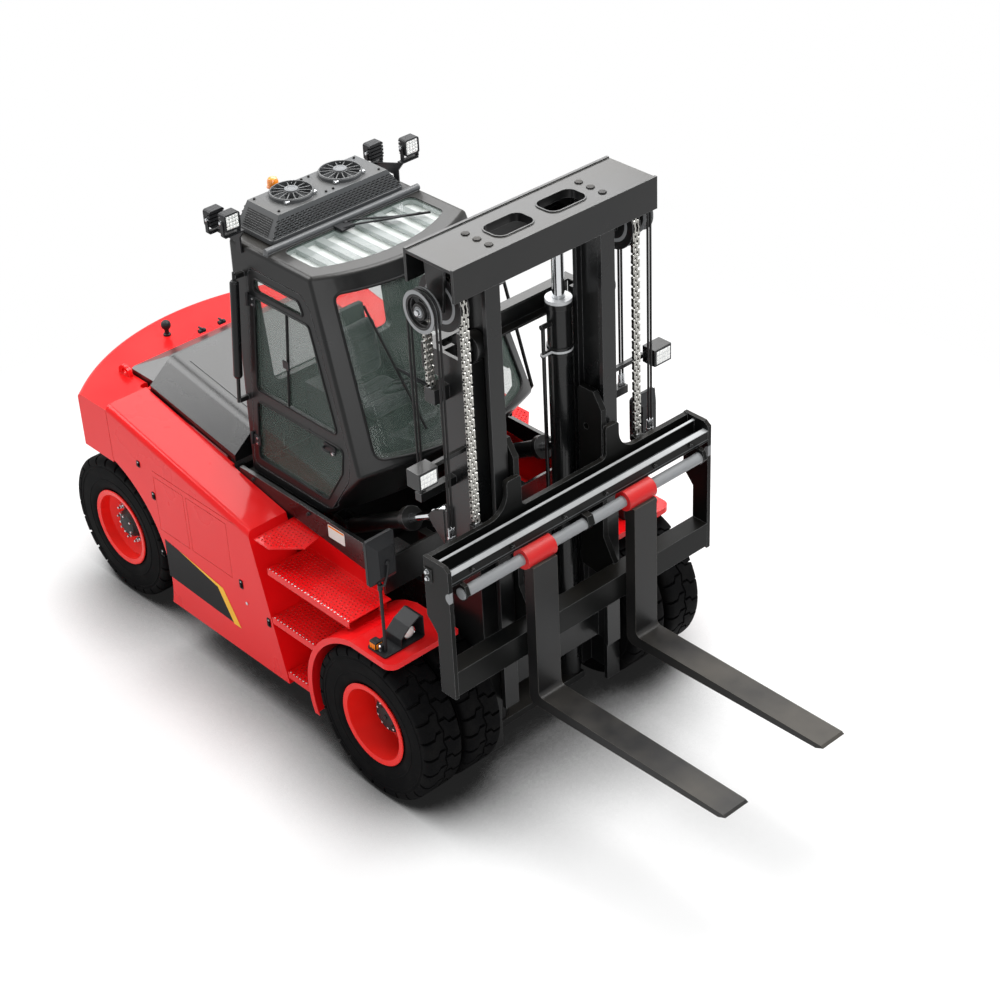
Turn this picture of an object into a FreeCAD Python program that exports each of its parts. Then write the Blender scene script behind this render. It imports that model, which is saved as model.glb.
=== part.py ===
import FreeCAD, Part
import math
import os
import re
import Sketcher

# A heavy counterbalanced forklift: engine drive, twin front wheels, two-stage mast.
# Lengths are millimetres. Sub-parts are drawn about the front axle: X forward from its
# centre line, Y to the driver's left, Z up from the ground. The row's origin is the middle
# of the machine on the ground, so each sub-part's Placement carries it by AXLE_X.

SIZES = {
    # running gear
    "wheel_base": 3090, "tyre_radius": 562.5, "tyre_width": 300, "tyre_round": 45,
    "bead_radius": 275, "rim_lip": 302, "rim_wall": 14, "dual_gap": 40,
    "twin_face": 1254, "steer_face": 1098, "hub_radius": 150, "hub_reach": 110,
    "axle_tube": 98, "axle_half": 606, "banjo_radius": 235, "banjo_front": 95,
    "banjo_rear": 165, "nose_radius": 95, "nose_reach": 420,
    "kingpin_y": 730, "kingpin_radius": 32, "beam_half": 110, "beam_tip": 68,
    "beam_tall": 170, "yoke_gap": 6, "spindle_radius": 60,
    "steer_disc": 960, "drive_disc": 934, "disc_wall": 24,
    # frame and platform
    "engine_half": 330, "engine_long": 880, "engine_tall": 780, "engine_rear": -2360, "engine_low": 690,
    "rail_y": 400, "rail_wall": 40, "rail_low": 400, "rail_top": 1090, "rail_front": -135,
    "rail_rear": -2430, "spine_half": 230, "plate": 20, "deck_top": 1545,
    "band_gap": 35, "band_wall": 30, "band_front": -270,
    # bodywork
    "body_half": 1200, "tank_inner": 640, "sill": 335, "crease": 1448, "crease_rear": -2343,
    "crease_front": -1282,
    "line_deep": 3, "lid_low": 960, "lid_split": -1975, "shoulder_front": 1460,
    "shoulder_rear": 1770, "panel_front_low": -965, "panel_front_top": -1255,
    "cw_front": -2840, "arch_radius": 800, "edge_round": 45, "seam": 6,
    "cw_rear": -3680, "cw_corner": -3260, "cw_corner_half": 1130, "cw_top": 1735,
    "cw_low": 1300, "cw_keel": 500, "keel_half": 245,
    "fender_radius": 640, "fender_wall": 10, "fender_face": 1270, "fender_inner": 700,
    "fender_top": 1190, "fender_front": 270, "fender_lip": 42, "lip_wall": 8, "fender_corner": 75,
    "step_wall": 8, "step_lip": 45,
    # hood and radiator cover
    "hood_rear": -2800, "hood_front": -1835, "hood_half": 838, "hood_top_half": 640,
    "hood_base_rear": 1775, "hood_height": 205, "hood_fall": 165, "hood_wall": 14,
    "hood_round": 120, "hood_groove": 560, "groove_start": 130, "cover_rear": -3130, "cover_front": -2860,
    "cover_half": 770, "cover_top": 1875, "cover_bevel": 190,
    # cab
    "cab_floor": 1575, "cab_roof": 3230, "cab_rear": -1765, "cab_half": 800,
    "rear_tuck": 59, "rear_lean": 110, "cab_round": 38, "window_round": 60, "light_round": 40,
    "cab_roof_half": 658, "screen_foot": -434, "screen_lean": 444, "screen_arc": 1200,
    "chin_arc": 2000, "chin_foot": -910, "chin_lean": 835, "cab_wall": 50, "glass": 8, "door_gap": 6,
    "door_wall": 38, "lean_height": 1655,
    "grab_stand": 72, "grab_radius": 13, "grab_sleeve": 31, "bar_wide": 60, "bar_step": 164,
    "tube_radius": 23,
    # roof condenser, lamps and mirrors
    "unit_half": 552, "unit_top_half": 455, "unit_skirt": 40, "unit_top": 180, "fan_radius": 150,
    "fan_y": 205, "fan_hub": 48, "fan_tall": 32, "lamp_side": 120, "lamp_deep": 72, "lamp_lens": 6,
    "mirror_x": 100, "mirror_y": 1180, "pole_radius": 11,
    # mast
    "cross_rear": -20, "cross_front": 60, "channel": 14, "outer_web": 580, "outer_wall": 25,
    "outer_rear": 130, "outer_front": 410,
    "flange": 30, "outer_low": 180, "outer_top": 3150, "inner_web": 455,
    "inner_rear": 250, "inner_front": 500, "inner_in": 412, "inner_out": 527,
    "inner_low": 560, "beam_low": 3709, "beam_top": 3915, "beam_front": 574,
    "beam_rear": 146, "beam_side": 822, "run_gap": 3, "roller_y": 490,
    "lift_x": 185, "lift_y": 345, "barrel_radius": 78, "barrel_bore": 60,
    "lift_rod": 40, "barrel_low": 232, "barrel_top": 3150, "rod_low": 1640,
    "pipe_y": 140, "pipe_radius": 13, "window_y": 212, "window_half": 148, "window_lip": 9,
    "sheave_x": 335, "sheave_z": 3600, "sheave_radius": 170, "chain_y": 700,
    "chain_wide": 44, "chain_thick": 34, "pulley_y": 862,
    "pulley_radius": 128, "hose_radius": 11, "hose_split": 16,
    # carriage and forks
    "carriage_front": 743, "carriage_rear": 524, "carriage_step": 612,
    "carriage_half": 1145, "side_wall": 30, "carriage_top": 2118, "carriage_low": 1130,
    "shoulder_top": 2340, "roller_plate": 2570, "shaft_x": 750, "shaft_z": 1900,
    "shaft_radius": 38, "fork_y": 440, "fork_wide": 200, "fork_thick": 85,
    "fork_face": 835, "fork_length": 1600, "fork_top": 860,
    # tilt cylinders
    "tilt_y": 585, "tilt_rear_x": -930, "tilt_rear_z": 1360, "tilt_eye_x": 30,
    "tilt_eye_z": 1905, "tilt_barrel": 58, "tilt_rod": 30, "tilt_pin": 24,
    "tilt_eye": 52, "eye_play": 7,
}

# the middle of the machine's length, from the counterweight's back to the fork tips
AXLE_X = "(0 - cw_rear - fork_face - fork_length) / 2"

doc = FreeCAD.newDocument("Forklift")
sheet = doc.addObject("Spreadsheet::Sheet", "dims")
for line, (alias, size) in enumerate(SIZES.items(), start=1):
    sheet.set(f"A{line}", str(size))
    sheet.setAlias(f"A{line}", alias)
doc.recompute()

nodes = []


def bound(text):
    """An expression in size names, as the document reads it."""
    return re.sub(r"[a-z_]+", lambda m: "dims." + m.group() if m.group() in SIZES else m.group(), str(text))


def size(text):
    """The value of an expression in size names."""
    result = sheet.evalExpression(bound(text))
    return float(getattr(result, "Value", result))


def tie(obj, path, text):
    obj.setExpression(path, bound(text))


def arc_between(p, q, radius):
    """The arc from p to q, centre on the left of the way for a positive radius."""
    (px, py), (qx, qy) = p, q
    half = math.hypot(qx - px, qy - py) / 2
    rise = math.sqrt(max(radius * radius - half * half, 0))
    side = 1 if radius > 0 else -1
    ux, uy = (qx - px) / (2 * half), (qy - py) / (2 * half)
    cx, cy = (px + qx) / 2 - side * uy * rise, (py + qy) / 2 + side * ux * rise
    start, end = (p, q) if side > 0 else (q, p)
    first = math.atan2(start[1] - cy, start[0] - cx)
    last = math.atan2(end[1] - cy, end[0] - cx)
    circle = Part.Circle(FreeCAD.Vector(cx, cy, 0), FreeCAD.Vector(0, 0, 1), abs(radius))
    return Part.ArcOfCircle(circle, first, last)


def draw_outline(sketch, corners):
    """A closed outline. A corner is (x, y), or (x, y, radius) where an arc leaves it."""
    spots = [(size(c[0]), size(c[1])) for c in corners]
    base = sketch.GeometryCount
    ends = []
    for i, corner in enumerate(corners):
        p, q = spots[i], spots[(i + 1) % len(spots)]
        if len(corner) == 3:
            radius = size(corner[2])
            sketch.addGeometry(arc_between(p, q, radius), False)
            ends.append((1, 2) if radius > 0 else (2, 1))
        else:
            sketch.addGeometry(Part.LineSegment(FreeCAD.Vector(*p, 0), FreeCAD.Vector(*q, 0)), False)
            ends.append((1, 2))
    for i, corner in enumerate(corners):
        j = (i + 1) % len(corners)
        sketch.addConstraint(Sketcher.Constraint("Coincident", base + i, ends[i][1], base + j, ends[j][0]))
    for i, corner in enumerate(corners):
        for kind, place in (("DistanceX", 0), ("DistanceY", 1)):
            rule = Sketcher.Constraint(kind, -1, 1, base + i, ends[i][0], spots[i][place])
            tie(sketch, f"Constraints[{sketch.addConstraint(rule)}]", corner[place])
        if len(corner) == 3:
            rule = Sketcher.Constraint("Radius", base + i, abs(size(corner[2])))
            tie(sketch, f"Constraints[{sketch.addConstraint(rule)}]", f"abs({corner[2]})")


def draw_circle(sketch, x, y, radius):
    centre = FreeCAD.Vector(size(x), size(y), 0)
    g = sketch.addGeometry(Part.Circle(centre, FreeCAD.Vector(0, 0, 1), size(radius)), False)
    for kind, text, at in (("DistanceX", x, centre.x), ("DistanceY", y, centre.y)):
        rule = Sketcher.Constraint(kind, -1, 1, g, 3, at)
        tie(sketch, f"Constraints[{sketch.addConstraint(rule)}]", text)
    tie(sketch, f"Constraints[{sketch.addConstraint(Sketcher.Constraint('Radius', g, size(radius)))}]",
        radius)


class Piece:
    """A PartDesign body, with a short call for each feature that the machine needs."""

    def __init__(self, label):
        self.body = doc.addObject("PartDesign::Body", label)
        self.body.Label = label

    def origin(self, role):
        return next(f for f in self.body.Origin.OriginFeatures if f.Role == role)

    def sketch(self, plane, loops, offset="0"):
        sketch = self.body.newObject("Sketcher::SketchObject", "sketch")
        sketch.AttachmentSupport = (self.origin(plane + "_Plane"), [""])
        sketch.MapMode = "FlatFace"
        # the XZ plane faces -Y, so an offset to the left is negative there
        tie(sketch, "AttachmentOffset.Base.z", f"-({offset})" if plane == "XZ" else offset)
        for loop in loops:
            if loop[0] == "circle":
                draw_circle(sketch, *loop[1:])
            else:
                draw_outline(sketch, loop)
        return sketch

    def volume(self):
        doc.recompute()
        return self.body.Shape.Volume if self.body.Tip else 0

    def pad(self, plane, loops, length, offset="0", both=False, along=None):
        """Material from the plane at offset: away along its positive axis, or to both sides."""
        feature = self.body.newObject("PartDesign::Pad", "pad")
        feature.Profile = self.sketch(plane, loops, offset)
        tie(feature, "Length", length)
        feature.Midplane = both
        feature.Reversed = plane == "XZ" and not both
        if along:
            feature.UseCustomVector = True
            feature.Direction = FreeCAD.Vector(*along)
            feature.AlongSketchNormal = True
        return self

    def loft(self, plane, low_loop, high_loop, low, high):
        """Material that runs from one outline at low to another, of as many corners, at high."""
        feature = self.body.newObject("PartDesign::AdditiveLoft", "loft")
        feature.Profile = self.sketch(plane, [low_loop], low)
        feature.Sections = [self.sketch(plane, [high_loop], high)]
        feature.Ruled = True
        return self

    def around(self, count, axis="Z_Axis"):
        """Repeats the last feature round one of the body's own axes."""
        doc.recompute()
        last = self.body.Tip
        feature = self.body.newObject("PartDesign::PolarPattern", "pattern")
        feature.Originals = [last]
        feature.Axis = (self.origin(axis), [""])
        feature.Angle = 360
        feature.Occurrences = count
        self.body.Tip = feature
        return self

    def pocket(self, plane, loops, length, offset="0", both=False, along=None):
        """A cut the same way as a pad."""
        before = self.volume()
        feature = self.body.newObject("PartDesign::Pocket", "pocket")
        feature.Profile = self.sketch(plane, loops, offset)
        tie(feature, "Length", length)
        feature.Midplane = both
        feature.Reversed = plane != "XZ" and not both and not along
        if along:
            feature.UseCustomVector = True
            feature.Direction = FreeCAD.Vector(*along)
            feature.AlongSketchNormal = True
        if self.volume() > before - 1:
            raise ValueError(f"a pocket of {self.body.Label} cuts nothing")
        return self

    def turn(self, plane, loops, axis="H_Axis", cut=False):
        """A full revolution about one of the sketch's own axes."""
        before = self.volume() if cut else 0
        kind = "PartDesign::Groove" if cut else "PartDesign::Revolution"
        feature = self.body.newObject(kind, "turn")
        feature.Profile = self.sketch(plane, loops)
        feature.ReferenceAxis = (feature.Profile[0], [axis])
        feature.Angle = 360
        if cut and self.volume() > before - 1:
            raise ValueError(f"a groove of {self.body.Label} cuts nothing")
        return self

    def fillet(self, radius, test, kind="Fillet"):
        """Rounds (or chamfers) the edges whose middle point and direction pass the test."""
        doc.recompute()
        names = []
        for i, edge in enumerate(self.body.Tip.Shape.Edges, start=1):
            middle = edge.valueAt((edge.FirstParameter + edge.LastParameter) / 2)
            way = edge.tangentAt((edge.FirstParameter + edge.LastParameter) / 2)
            if test(middle, way):
                names.append(f"Edge{i}")
        if not names:
            raise ValueError(f"no edge of {self.body.Label} passes the test")
        base = self.body.Tip
        feature = self.body.newObject("PartDesign::" + kind, kind.lower())
        feature.Base = (base, names)
        tie(feature, "Radius" if kind == "Fillet" else "Size", radius)
        return self

    def mirror(self, plane="XZ_Plane"):
        """Repeats the whole body on the other side of the plane."""
        features = [f for f in self.body.Group if f.isDerivedFrom("PartDesign::FeatureAddSub")]
        feature = self.body.newObject("PartDesign::Mirrored", "mirrored")
        feature.Originals = features
        feature.MirrorPlane = (self.origin(plane), [""])
        self.body.Tip = feature
        return self


def joined(kind, label, objects):
    result = doc.addObject(kind, label)
    result.Label = label
    if kind == "Part::Compound":
        result.Links = objects
    elif kind in ("Part::MultiFuse", "Part::MultiCommon"):
        result.Shapes = objects
    else:
        result.Base, result.Tool = objects
    return result


def mirrored(label, source):
    result = doc.addObject("Part::Mirroring", label)
    result.Label = label
    result.Source = source
    result.Normal = FreeCAD.Vector(0, 1, 0)
    return result


def pair(label, right):
    """One node that holds a piece and its twin on the other side."""
    return joined("Part::Compound", label, [right, mirrored(label + "_twin", right)])


def node(obj, x=AXLE_X, y="0", z="0"):
    """Places a finished sub-part and lists it for writing."""
    tie(obj, "Placement.Base.x", x)
    tie(obj, "Placement.Base.y", y)
    tie(obj, "Placement.Base.z", z)
    nodes.append(obj)
    return obj


def rectangle(x0, y0, x1, y1):
    return [(x0, y0), (x1, y0), (x1, y1), (x0, y1)]


def rounded(x0, y0, x1, y1, radius):
    """A rectangle whose four corners are quarter arcs."""
    return [
        (f"{x0} + {radius}", y0), (f"{x1} - {radius}", y0, radius), (x1, f"{y0} + {radius}"),
        (x1, f"{y1} - {radius}", radius), (f"{x1} - {radius}", y1), (f"{x0} + {radius}", y1, radius),
        (x0, f"{y1} - {radius}"), (x0, f"{y0} + {radius}", radius),
    ]


def over_the_top(radius):
    """The upper half of a circle about the sketch's origin, from its front to its rear."""
    return [(radius, "0", radius), ("0", radius, radius), (f"-({radius})", "0")]


def back_over_the_top(radius):
    return [(f"-({radius})", "0", f"-({radius})"), ("0", radius, f"-({radius})"), (radius, "0")]


# ---------------------------------------------------------------- wheels

def tyre_outline(inner, outer):
    """Half section of a tyre between two side faces, axle along the first direction."""
    return [
        (inner + "+ 26", "bead_radius"), (outer + "- 26", "bead_radius"), (outer + "- 26", "rim_lip + 3"),
        (outer, "rim_lip + 45"), (outer, "tyre_radius - tyre_round", "tyre_round"),
        (outer + "- tyre_round", "tyre_radius"), (inner + "+ tyre_round", "tyre_radius", "tyre_round"),
        (inner, "tyre_radius - tyre_round"), (inner, "rim_lip + 45"), (inner + "+ 26", "rim_lip + 3"),
    ]


def front_tyres():
    inner_out = "twin_face - tyre_width - dual_gap"
    outer = Piece("outer_tyre").turn("YZ", [tyre_outline("twin_face - tyre_width", "twin_face")])
    inner = Piece("inner_tyre").turn("YZ", [tyre_outline(inner_out + "- tyre_width", inner_out)])
    return joined("Part::Compound", "front_tyres_left", [outer.body, inner.body])


def front_rims():
    """Both rims of a twin wheel, clamped disc to disc, with the planetary hub inside."""
    low = "twin_face - 2 * tyre_width - dual_gap"
    rims = Piece("front_rims_left")
    rims.turn("YZ", [[
        (low + "+ 4", "bead_radius - rim_wall"), ("drive_disc - disc_wall", "bead_radius - rim_wall"),
        ("drive_disc - disc_wall", "70"), ("drive_disc + disc_wall", "70"),
        ("drive_disc + disc_wall", "bead_radius - 60"), ("drive_disc + 90", "bead_radius - rim_wall"),
        ("twin_face - 8", "bead_radius - rim_wall"), ("twin_face - 2", "rim_lip - 6"),
        ("twin_face - 8", "rim_lip"), ("twin_face - 26", "rim_lip - 14"),
        ("twin_face - 26", "bead_radius - 0.4"), (low + "+ 26", "bead_radius - 0.4"),
        (low + "+ 26", "rim_lip - 14"), (low + "+ 4", "rim_lip - 14"),
    ]])
    rims.turn("YZ", [[
        ("axle_half + 6", "0"), ("drive_disc + hub_reach", "0"),
        ("drive_disc + hub_reach", "hub_radius - 40"), ("drive_disc + hub_reach - 30", "hub_radius"),
        ("drive_disc + disc_wall - 1", "hub_radius"), ("drive_disc - disc_wall", "hub_radius + 50"),
        ("axle_half + 60", "hub_radius + 50"), ("axle_half + 6", "hub_radius"),
    ]])
    return rims.body


def rear_tyre():
    return Piece("rear_tyre_left").turn("YZ", [tyre_outline("steer_face - tyre_width", "steer_face")]).body


def rear_rim():
    low = "steer_face - tyre_width"
    rim = Piece("rear_rim_left")
    rim.turn("YZ", [[
        (low + "+ 4", "bead_radius - rim_wall"), ("steer_disc - disc_wall", "bead_radius - rim_wall"),
        ("steer_disc + 20 - disc_wall", "90"), ("steer_disc + 20", "90"),
        ("steer_disc + 20", "bead_radius - 95"), ("steer_disc + 4", "bead_radius - 70"),
        ("steer_disc + 50", "bead_radius - rim_wall"), ("steer_face - 8", "bead_radius - rim_wall"),
        ("steer_face - 2", "rim_lip - 6"), ("steer_face - 8", "rim_lip"),
        ("steer_face - 26", "rim_lip - 14"), ("steer_face - 26", "bead_radius - 0.4"),
        (low + "+ 26", "bead_radius - 0.4"), (low + "+ 26", "rim_lip - 14"), (low + "+ 4", "rim_lip - 14"),
    ]])
    rim.turn("YZ", [[
        ("kingpin_y + 100", "spindle_radius + 1"), ("steer_disc + 40", "spindle_radius + 1"),
        ("steer_disc + 40", "0"), ("steer_disc + 75", "0"), ("steer_disc + 75", "70"),
        ("steer_disc + 60", "92"), ("steer_disc + 5", "92"), ("steer_disc - 60", "120"),
        ("kingpin_y + 100", "120"),
    ]])
    return rim.body


# ---------------------------------------------------------------- axles

def drive_axle():
    """Banjo housing: a round tube, a domed ring for the crown wheel and the pinion nose."""
    axle = Piece("drive_axle")
    axle.turn("YZ", [[
        ("-axle_half", "0"), ("axle_half", "0"), ("axle_half", "axle_tube - 25"),
        ("axle_half - 110", "axle_tube"), ("-axle_half + 110", "axle_tube"),
        ("-axle_half", "axle_tube - 25"),
    ]])
    axle.turn("XZ", [[
        ("-nose_reach", "0"), ("banjo_front", "0"), ("banjo_front", "banjo_radius - 95"),
        ("banjo_front - 40", "banjo_radius"), ("-banjo_rear + 60", "banjo_radius"),
        ("-banjo_rear", "banjo_radius - 60"), ("-banjo_rear", "nose_radius + 40"),
        ("-nose_reach + 60", "nose_radius"), ("-nose_reach", "nose_radius - 20"),
    ]])
    # pads that bolt to the front ends of the frame rails
    for y in ("rail_y - 20", "-rail_y - 60"):
        axle.pad("XZ", [rectangle("rail_front", "-125", "-40", "125")], "80", offset=y)
    return axle.body


def steer_axle():
    """Cast beam between the kingpin yokes, with the trunnions that let it rock."""
    axle = Piece("steer_axle")
    axle.pad("XY", [[
        ("-beam_half", "-250"), ("-beam_tip", "-kingpin_y", "beam_tip"),
        ("0", "-kingpin_y - beam_tip", "beam_tip"),
        ("beam_tip", "-kingpin_y"), ("beam_half", "-250"), ("beam_half", "250"),
        ("beam_tip", "kingpin_y", "beam_tip"), ("0", "kingpin_y + beam_tip", "beam_tip"),
        ("-beam_tip", "kingpin_y"),
        ("-beam_half", "250"),
    ]], "beam_tall", both=True)
    for way in ("", "-"):
        slot = sorted((way + "(kingpin_y - beam_tip - 8)", way + "(kingpin_y + beam_tip + 5)"), key=size)
        axle.pocket("YZ", [rectangle(slot[0], "-55", slot[1], "55")], "400", both=True)
        axle.pocket("XY", [("circle",) + ("0", way + "kingpin_y", "kingpin_radius + 0.3")], "400",
                    both=True)
    axle.turn("XZ", [[
        ("-beam_half - 90", "0"), ("beam_half + 90", "0"), ("beam_half + 90", "70"),
        ("-beam_half - 90", "70"),
    ]])
    return axle.body


def steer_knuckle():
    """Kingpin, its block in the yoke's slot, the spindle and the steering arm."""
    knuckle = Piece("steer_knuckle_left")
    knuckle.pad("XY", [("circle", "0", "kingpin_y", "kingpin_radius")], "beam_tall + 30", both=True)
    knuckle.pad("XY", [("circle", "0", "kingpin_y", "beam_tip - 6")], "2 * (55 - yoke_gap)", both=True)
    knuckle.turn("YZ", [[
        ("kingpin_y", "0"), ("steer_disc + 34", "0"), ("steer_disc + 34", "spindle_radius - 15"),
        ("kingpin_y + 92", "spindle_radius"), ("kingpin_y + 92", "95"), ("kingpin_y + 76", "95"),
        ("kingpin_y + 76", "50 - yoke_gap"), ("kingpin_y", "50 - yoke_gap"),
    ]])
    return knuckle.body


# ---------------------------------------------------------------- chassis

# inner face of the platform's side bands, clear of the cab's flanks
BAND = "(cab_half + band_gap)"


def main_frame():
    """Two rails, cross plates, the rear spine over the steer axle and the cab platform."""
    frame = Piece("main_frame")
    frame.pad("XZ", [[
        ("rail_rear", "rail_top - 250"), ("rail_rear + 500", "rail_low"), ("rail_front", "rail_low"),
        ("rail_front", "rail_top"), ("rail_rear", "rail_top"),
    ]], "rail_wall", offset="rail_y")
    # half of each cross plate, from the middle to the rail
    for x0, z0, z1 in (("rail_front - 60", "rail_top - 230", "rail_top"),
                       ("-900", "rail_low", "rail_low + 160"), ("-1700", "rail_low", "rail_low + 200"),
                       ("rail_rear + 45", "rail_top - 250", "rail_top")):
        frame.pad("XZ", [rectangle(x0 + "- 2 * plate", z0, x0, z1)], "rail_y + 5", offset="0")
    # tilt cylinder brackets: a cross box and two ears each side
    frame.pad("XZ", [rectangle("tilt_rear_x - 190", "rail_top - 60", "tilt_rear_x - 90",
                               "tilt_rear_z + 80")],
              "tilt_y + 70", offset="0")
    for y in ("tilt_y - 62", "tilt_y + 36"):
        frame.pad("XZ", [[
            ("tilt_rear_x - 100", "tilt_rear_z - 90"), ("tilt_rear_x + 20", "tilt_rear_z - 60"),
            ("tilt_rear_x + 52", "tilt_rear_z", "56"), ("tilt_rear_x", "tilt_rear_z + 56"),
            ("tilt_rear_x - 100", "tilt_rear_z + 70"),
        ]], "26", offset=y)
    frame.pad("XZ", [("circle", "tilt_rear_x", "tilt_rear_z", "tilt_pin")], "118", offset="tilt_y - 59")
    # platform: side band, front panel, deck behind the tilt cylinder wells and its legs
    frame.pad("XZ", [[
        ("cab_rear + 15", "cab_floor - 65"), ("band_front", "cab_floor - 205"),
        ("band_front", "cab_floor + 20"), ("cab_rear + 15", "cab_floor + 20"),
    ]], "band_wall", offset=BAND)
    frame.pad("XZ", [rectangle("band_front - plate", "cab_floor - 315", "band_front", "cab_floor - 60")],
              BAND + "+ 5", offset="0")
    frame.pad("XZ", [rectangle("cab_rear + 15", "deck_top - 2 * plate", "tilt_rear_x - 90", "deck_top")],
              BAND + "+ 5", offset="0")
    for x0 in ("-1720", "-1200"):
        frame.pad("XZ", [rectangle(x0, "rail_top - 10", x0 + "+ 60", "deck_top - plate")], "60",
                  offset="rail_y - 20")
    # engine mounts on the inner faces of the rails
    for x0 in ("-2250", "-1650"):
        frame.pad("XZ", [rectangle(x0, "840", x0 + "+ 90", "900")], "rail_y + 5 - engine_half",
                  offset="engine_half")
    frame.pad("XZ", [rectangle("band_front - 120", "rail_top - 200", "band_front - plate + 2",
                               "cab_floor - 70")],
              "60", offset="rail_y - 20")
    frame.mirror()
    # the spine above the steer axle, with its trunnion hangers
    frame.pad("XZ", [[
        ("rail_rear - 20", "rail_top - 250"), ("cw_front + 20", "760"), ("cw_front + 20", "cw_low - 10"),
        ("rail_rear - 20", "cw_low - 10"), ("rail_rear + 30", "rail_top"),
        ("rail_rear + 30", "rail_top - 250"),
    ]], "2 * spine_half", both=True)
    return frame.body


def counterweight():
    """Cast weight: a wide block over the rear wheels, curved behind, and a keel between them."""
    weight = Piece("counterweight")
    sweep = "((cw_corner - cw_rear)^2 + cw_corner_half^2) / (2 * (cw_corner - cw_rear))"
    weight.pad("XY", [[
        ("cw_front - seam", "-body_half"), ("cw_front - seam", "body_half"),
        ("cw_corner + 60", "body_half"),
        ("cw_corner", "cw_corner_half", sweep), ("cw_corner", "-cw_corner_half"),
        ("cw_corner + 60", "-body_half"),
    ]], "cw_top - cw_low", offset="cw_low")
    # behind the radiator the top is cut down into a shallow well
    weight.pocket("XY", [rectangle("cover_rear - 8", "-cover_half - 8", "cw_front + 100",
                                   "cover_half + 8")],
                  "cw_top - cw_low - 120", offset="cw_low + 120")
    weight.pad("XZ", [[
        ("cw_front - seam", "760"), ("-wheel_base + 180", "740"), ("-wheel_base - 180", "740"),
        ("-wheel_base - 240", "cw_keel + 60"), ("cw_rear + 160", "cw_keel"),
        ("cw_rear + 60", "cw_keel + 60"),
        ("cw_rear + 60", "cw_low + 10"), ("cw_front - seam", "cw_low + 10"),
    ]], "2 * keel_half", both=True)
    # towing jaw: a slot across the keel's tail and the hole for its pin
    weight.pocket("XZ", [rectangle("cw_rear", "cw_keel + 130", "cw_rear + 210", "cw_keel + 200")],
                  "2 * keel_half + 20", both=True)
    weight.pocket("XY", [("circle", "cw_rear + 140", "0", "20")], "330", offset="cw_keel - 10")
    weight.fillet("edge_round", lambda p, d: abs(p.z - size("cw_top")) < 1 and p.x < size("cw_corner") + 40)
    # flat recesses for the tail lamps in the curved rear
    for way in ("", "-"):
        y0, y1 = sorted((way + "(keel_half + 440)", way + "(keel_half + 660)"), key=size)
        weight.pocket("YZ", [rounded(y0, "cw_low + 180", y1, "cw_low + 280", "20")],
                      "cw_corner - cw_rear - 130", offset="cw_rear - 10")
    # sling holes and lifting eyes
    for way in ("", "-"):
        weight.pocket("XY", [("circle", "cw_front - 75", way + "(body_half - 390)", "36")], "160",
                      offset="cw_top - 160")
        eye = sorted((way + "(cover_half + 26)", way + "(cover_half + 56)"), key=size)[0]
        weight.pad("XZ", [
            [("cover_rear - 90", "cw_top - 5"), ("cover_rear + 50", "cw_top - 5"),
             ("cover_rear + 50", "cw_top + 20", "72"), ("cover_rear - 90", "cw_top + 20")],
            ("circle", "cover_rear - 20", "cw_top + 30", "26"),
        ], "30", offset=eye)
    return weight.body


def side_panels():
    """Tank and bodywork from the steps to the counterweight, arched over the rear wheel."""
    arch_top = "tyre_radius + sqrt(arch_radius^2 - (cw_front + wheel_base)^2)"
    arch_foot = "sqrt(arch_radius^2 - (tyre_radius - sill)^2) - wheel_base"
    panel = Piece("side_panel_left")
    panel.pad("XZ", [[
        (arch_foot, "sill"), ("panel_front_low", "sill"), ("panel_front_top", "shoulder_front"),
        ("cw_front", "shoulder_rear"), ("cw_front", arch_top, "-arch_radius"),
    ]], "body_half - tank_inner", offset="tank_inner")
    # the hood sits inside the shoulder, the cab and its platform over the front half
    panel.pocket("XZ", [[
        ("cw_front - 50", "cw_low - 10"), ("hood_front + 60", "cw_low - 10"), ("hood_front + 60", "2300"),
        ("cw_front - 50", "2300"),
    ]], "hood_half + 12 - tank_inner + 10", offset="tank_inner - 10")
    panel.pocket("XZ", [rectangle("hood_front", "rail_top + 20", "-600", "2300")],
                 BAND + "+ band_wall + 5 - tank_inner + 10", offset="tank_inner - 10")
    panel.fillet("edge_round", lambda p,
                 d: abs(p.y - size("body_half")) < 1 and p.z > size("crease") + 5 and abs(d.x) > 0.9)
    # the pressed line under the shoulder and the seams of the two maintenance lids below it
    groove = "body_half - line_deep"
    panel.pocket("XZ", [rectangle("crease_rear", "crease", "crease_front", "crease + 7")], "10",
                 offset=groove)
    for x0, x1 in (("crease_rear", "lid_split - 15"), ("lid_split + 15", "crease_front - 218")):
        seam = [rectangle(x0, "lid_low", x1, "crease - 40"),
                rectangle(x0 + "+ 5", "lid_low + 5", x1 + "- 5", "crease - 45")]
        panel.pocket("XZ", seam, "10", offset=groove)
    return pair("side_panels", panel.body)


# where the slanted front edge of the side panels stands at height z, plus the seam
PANEL_EDGE = ("panel_front_low + seam - (panel_front_low - panel_front_top)"
              " * ({z} - sill) / (shoulder_front - sill)")


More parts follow.
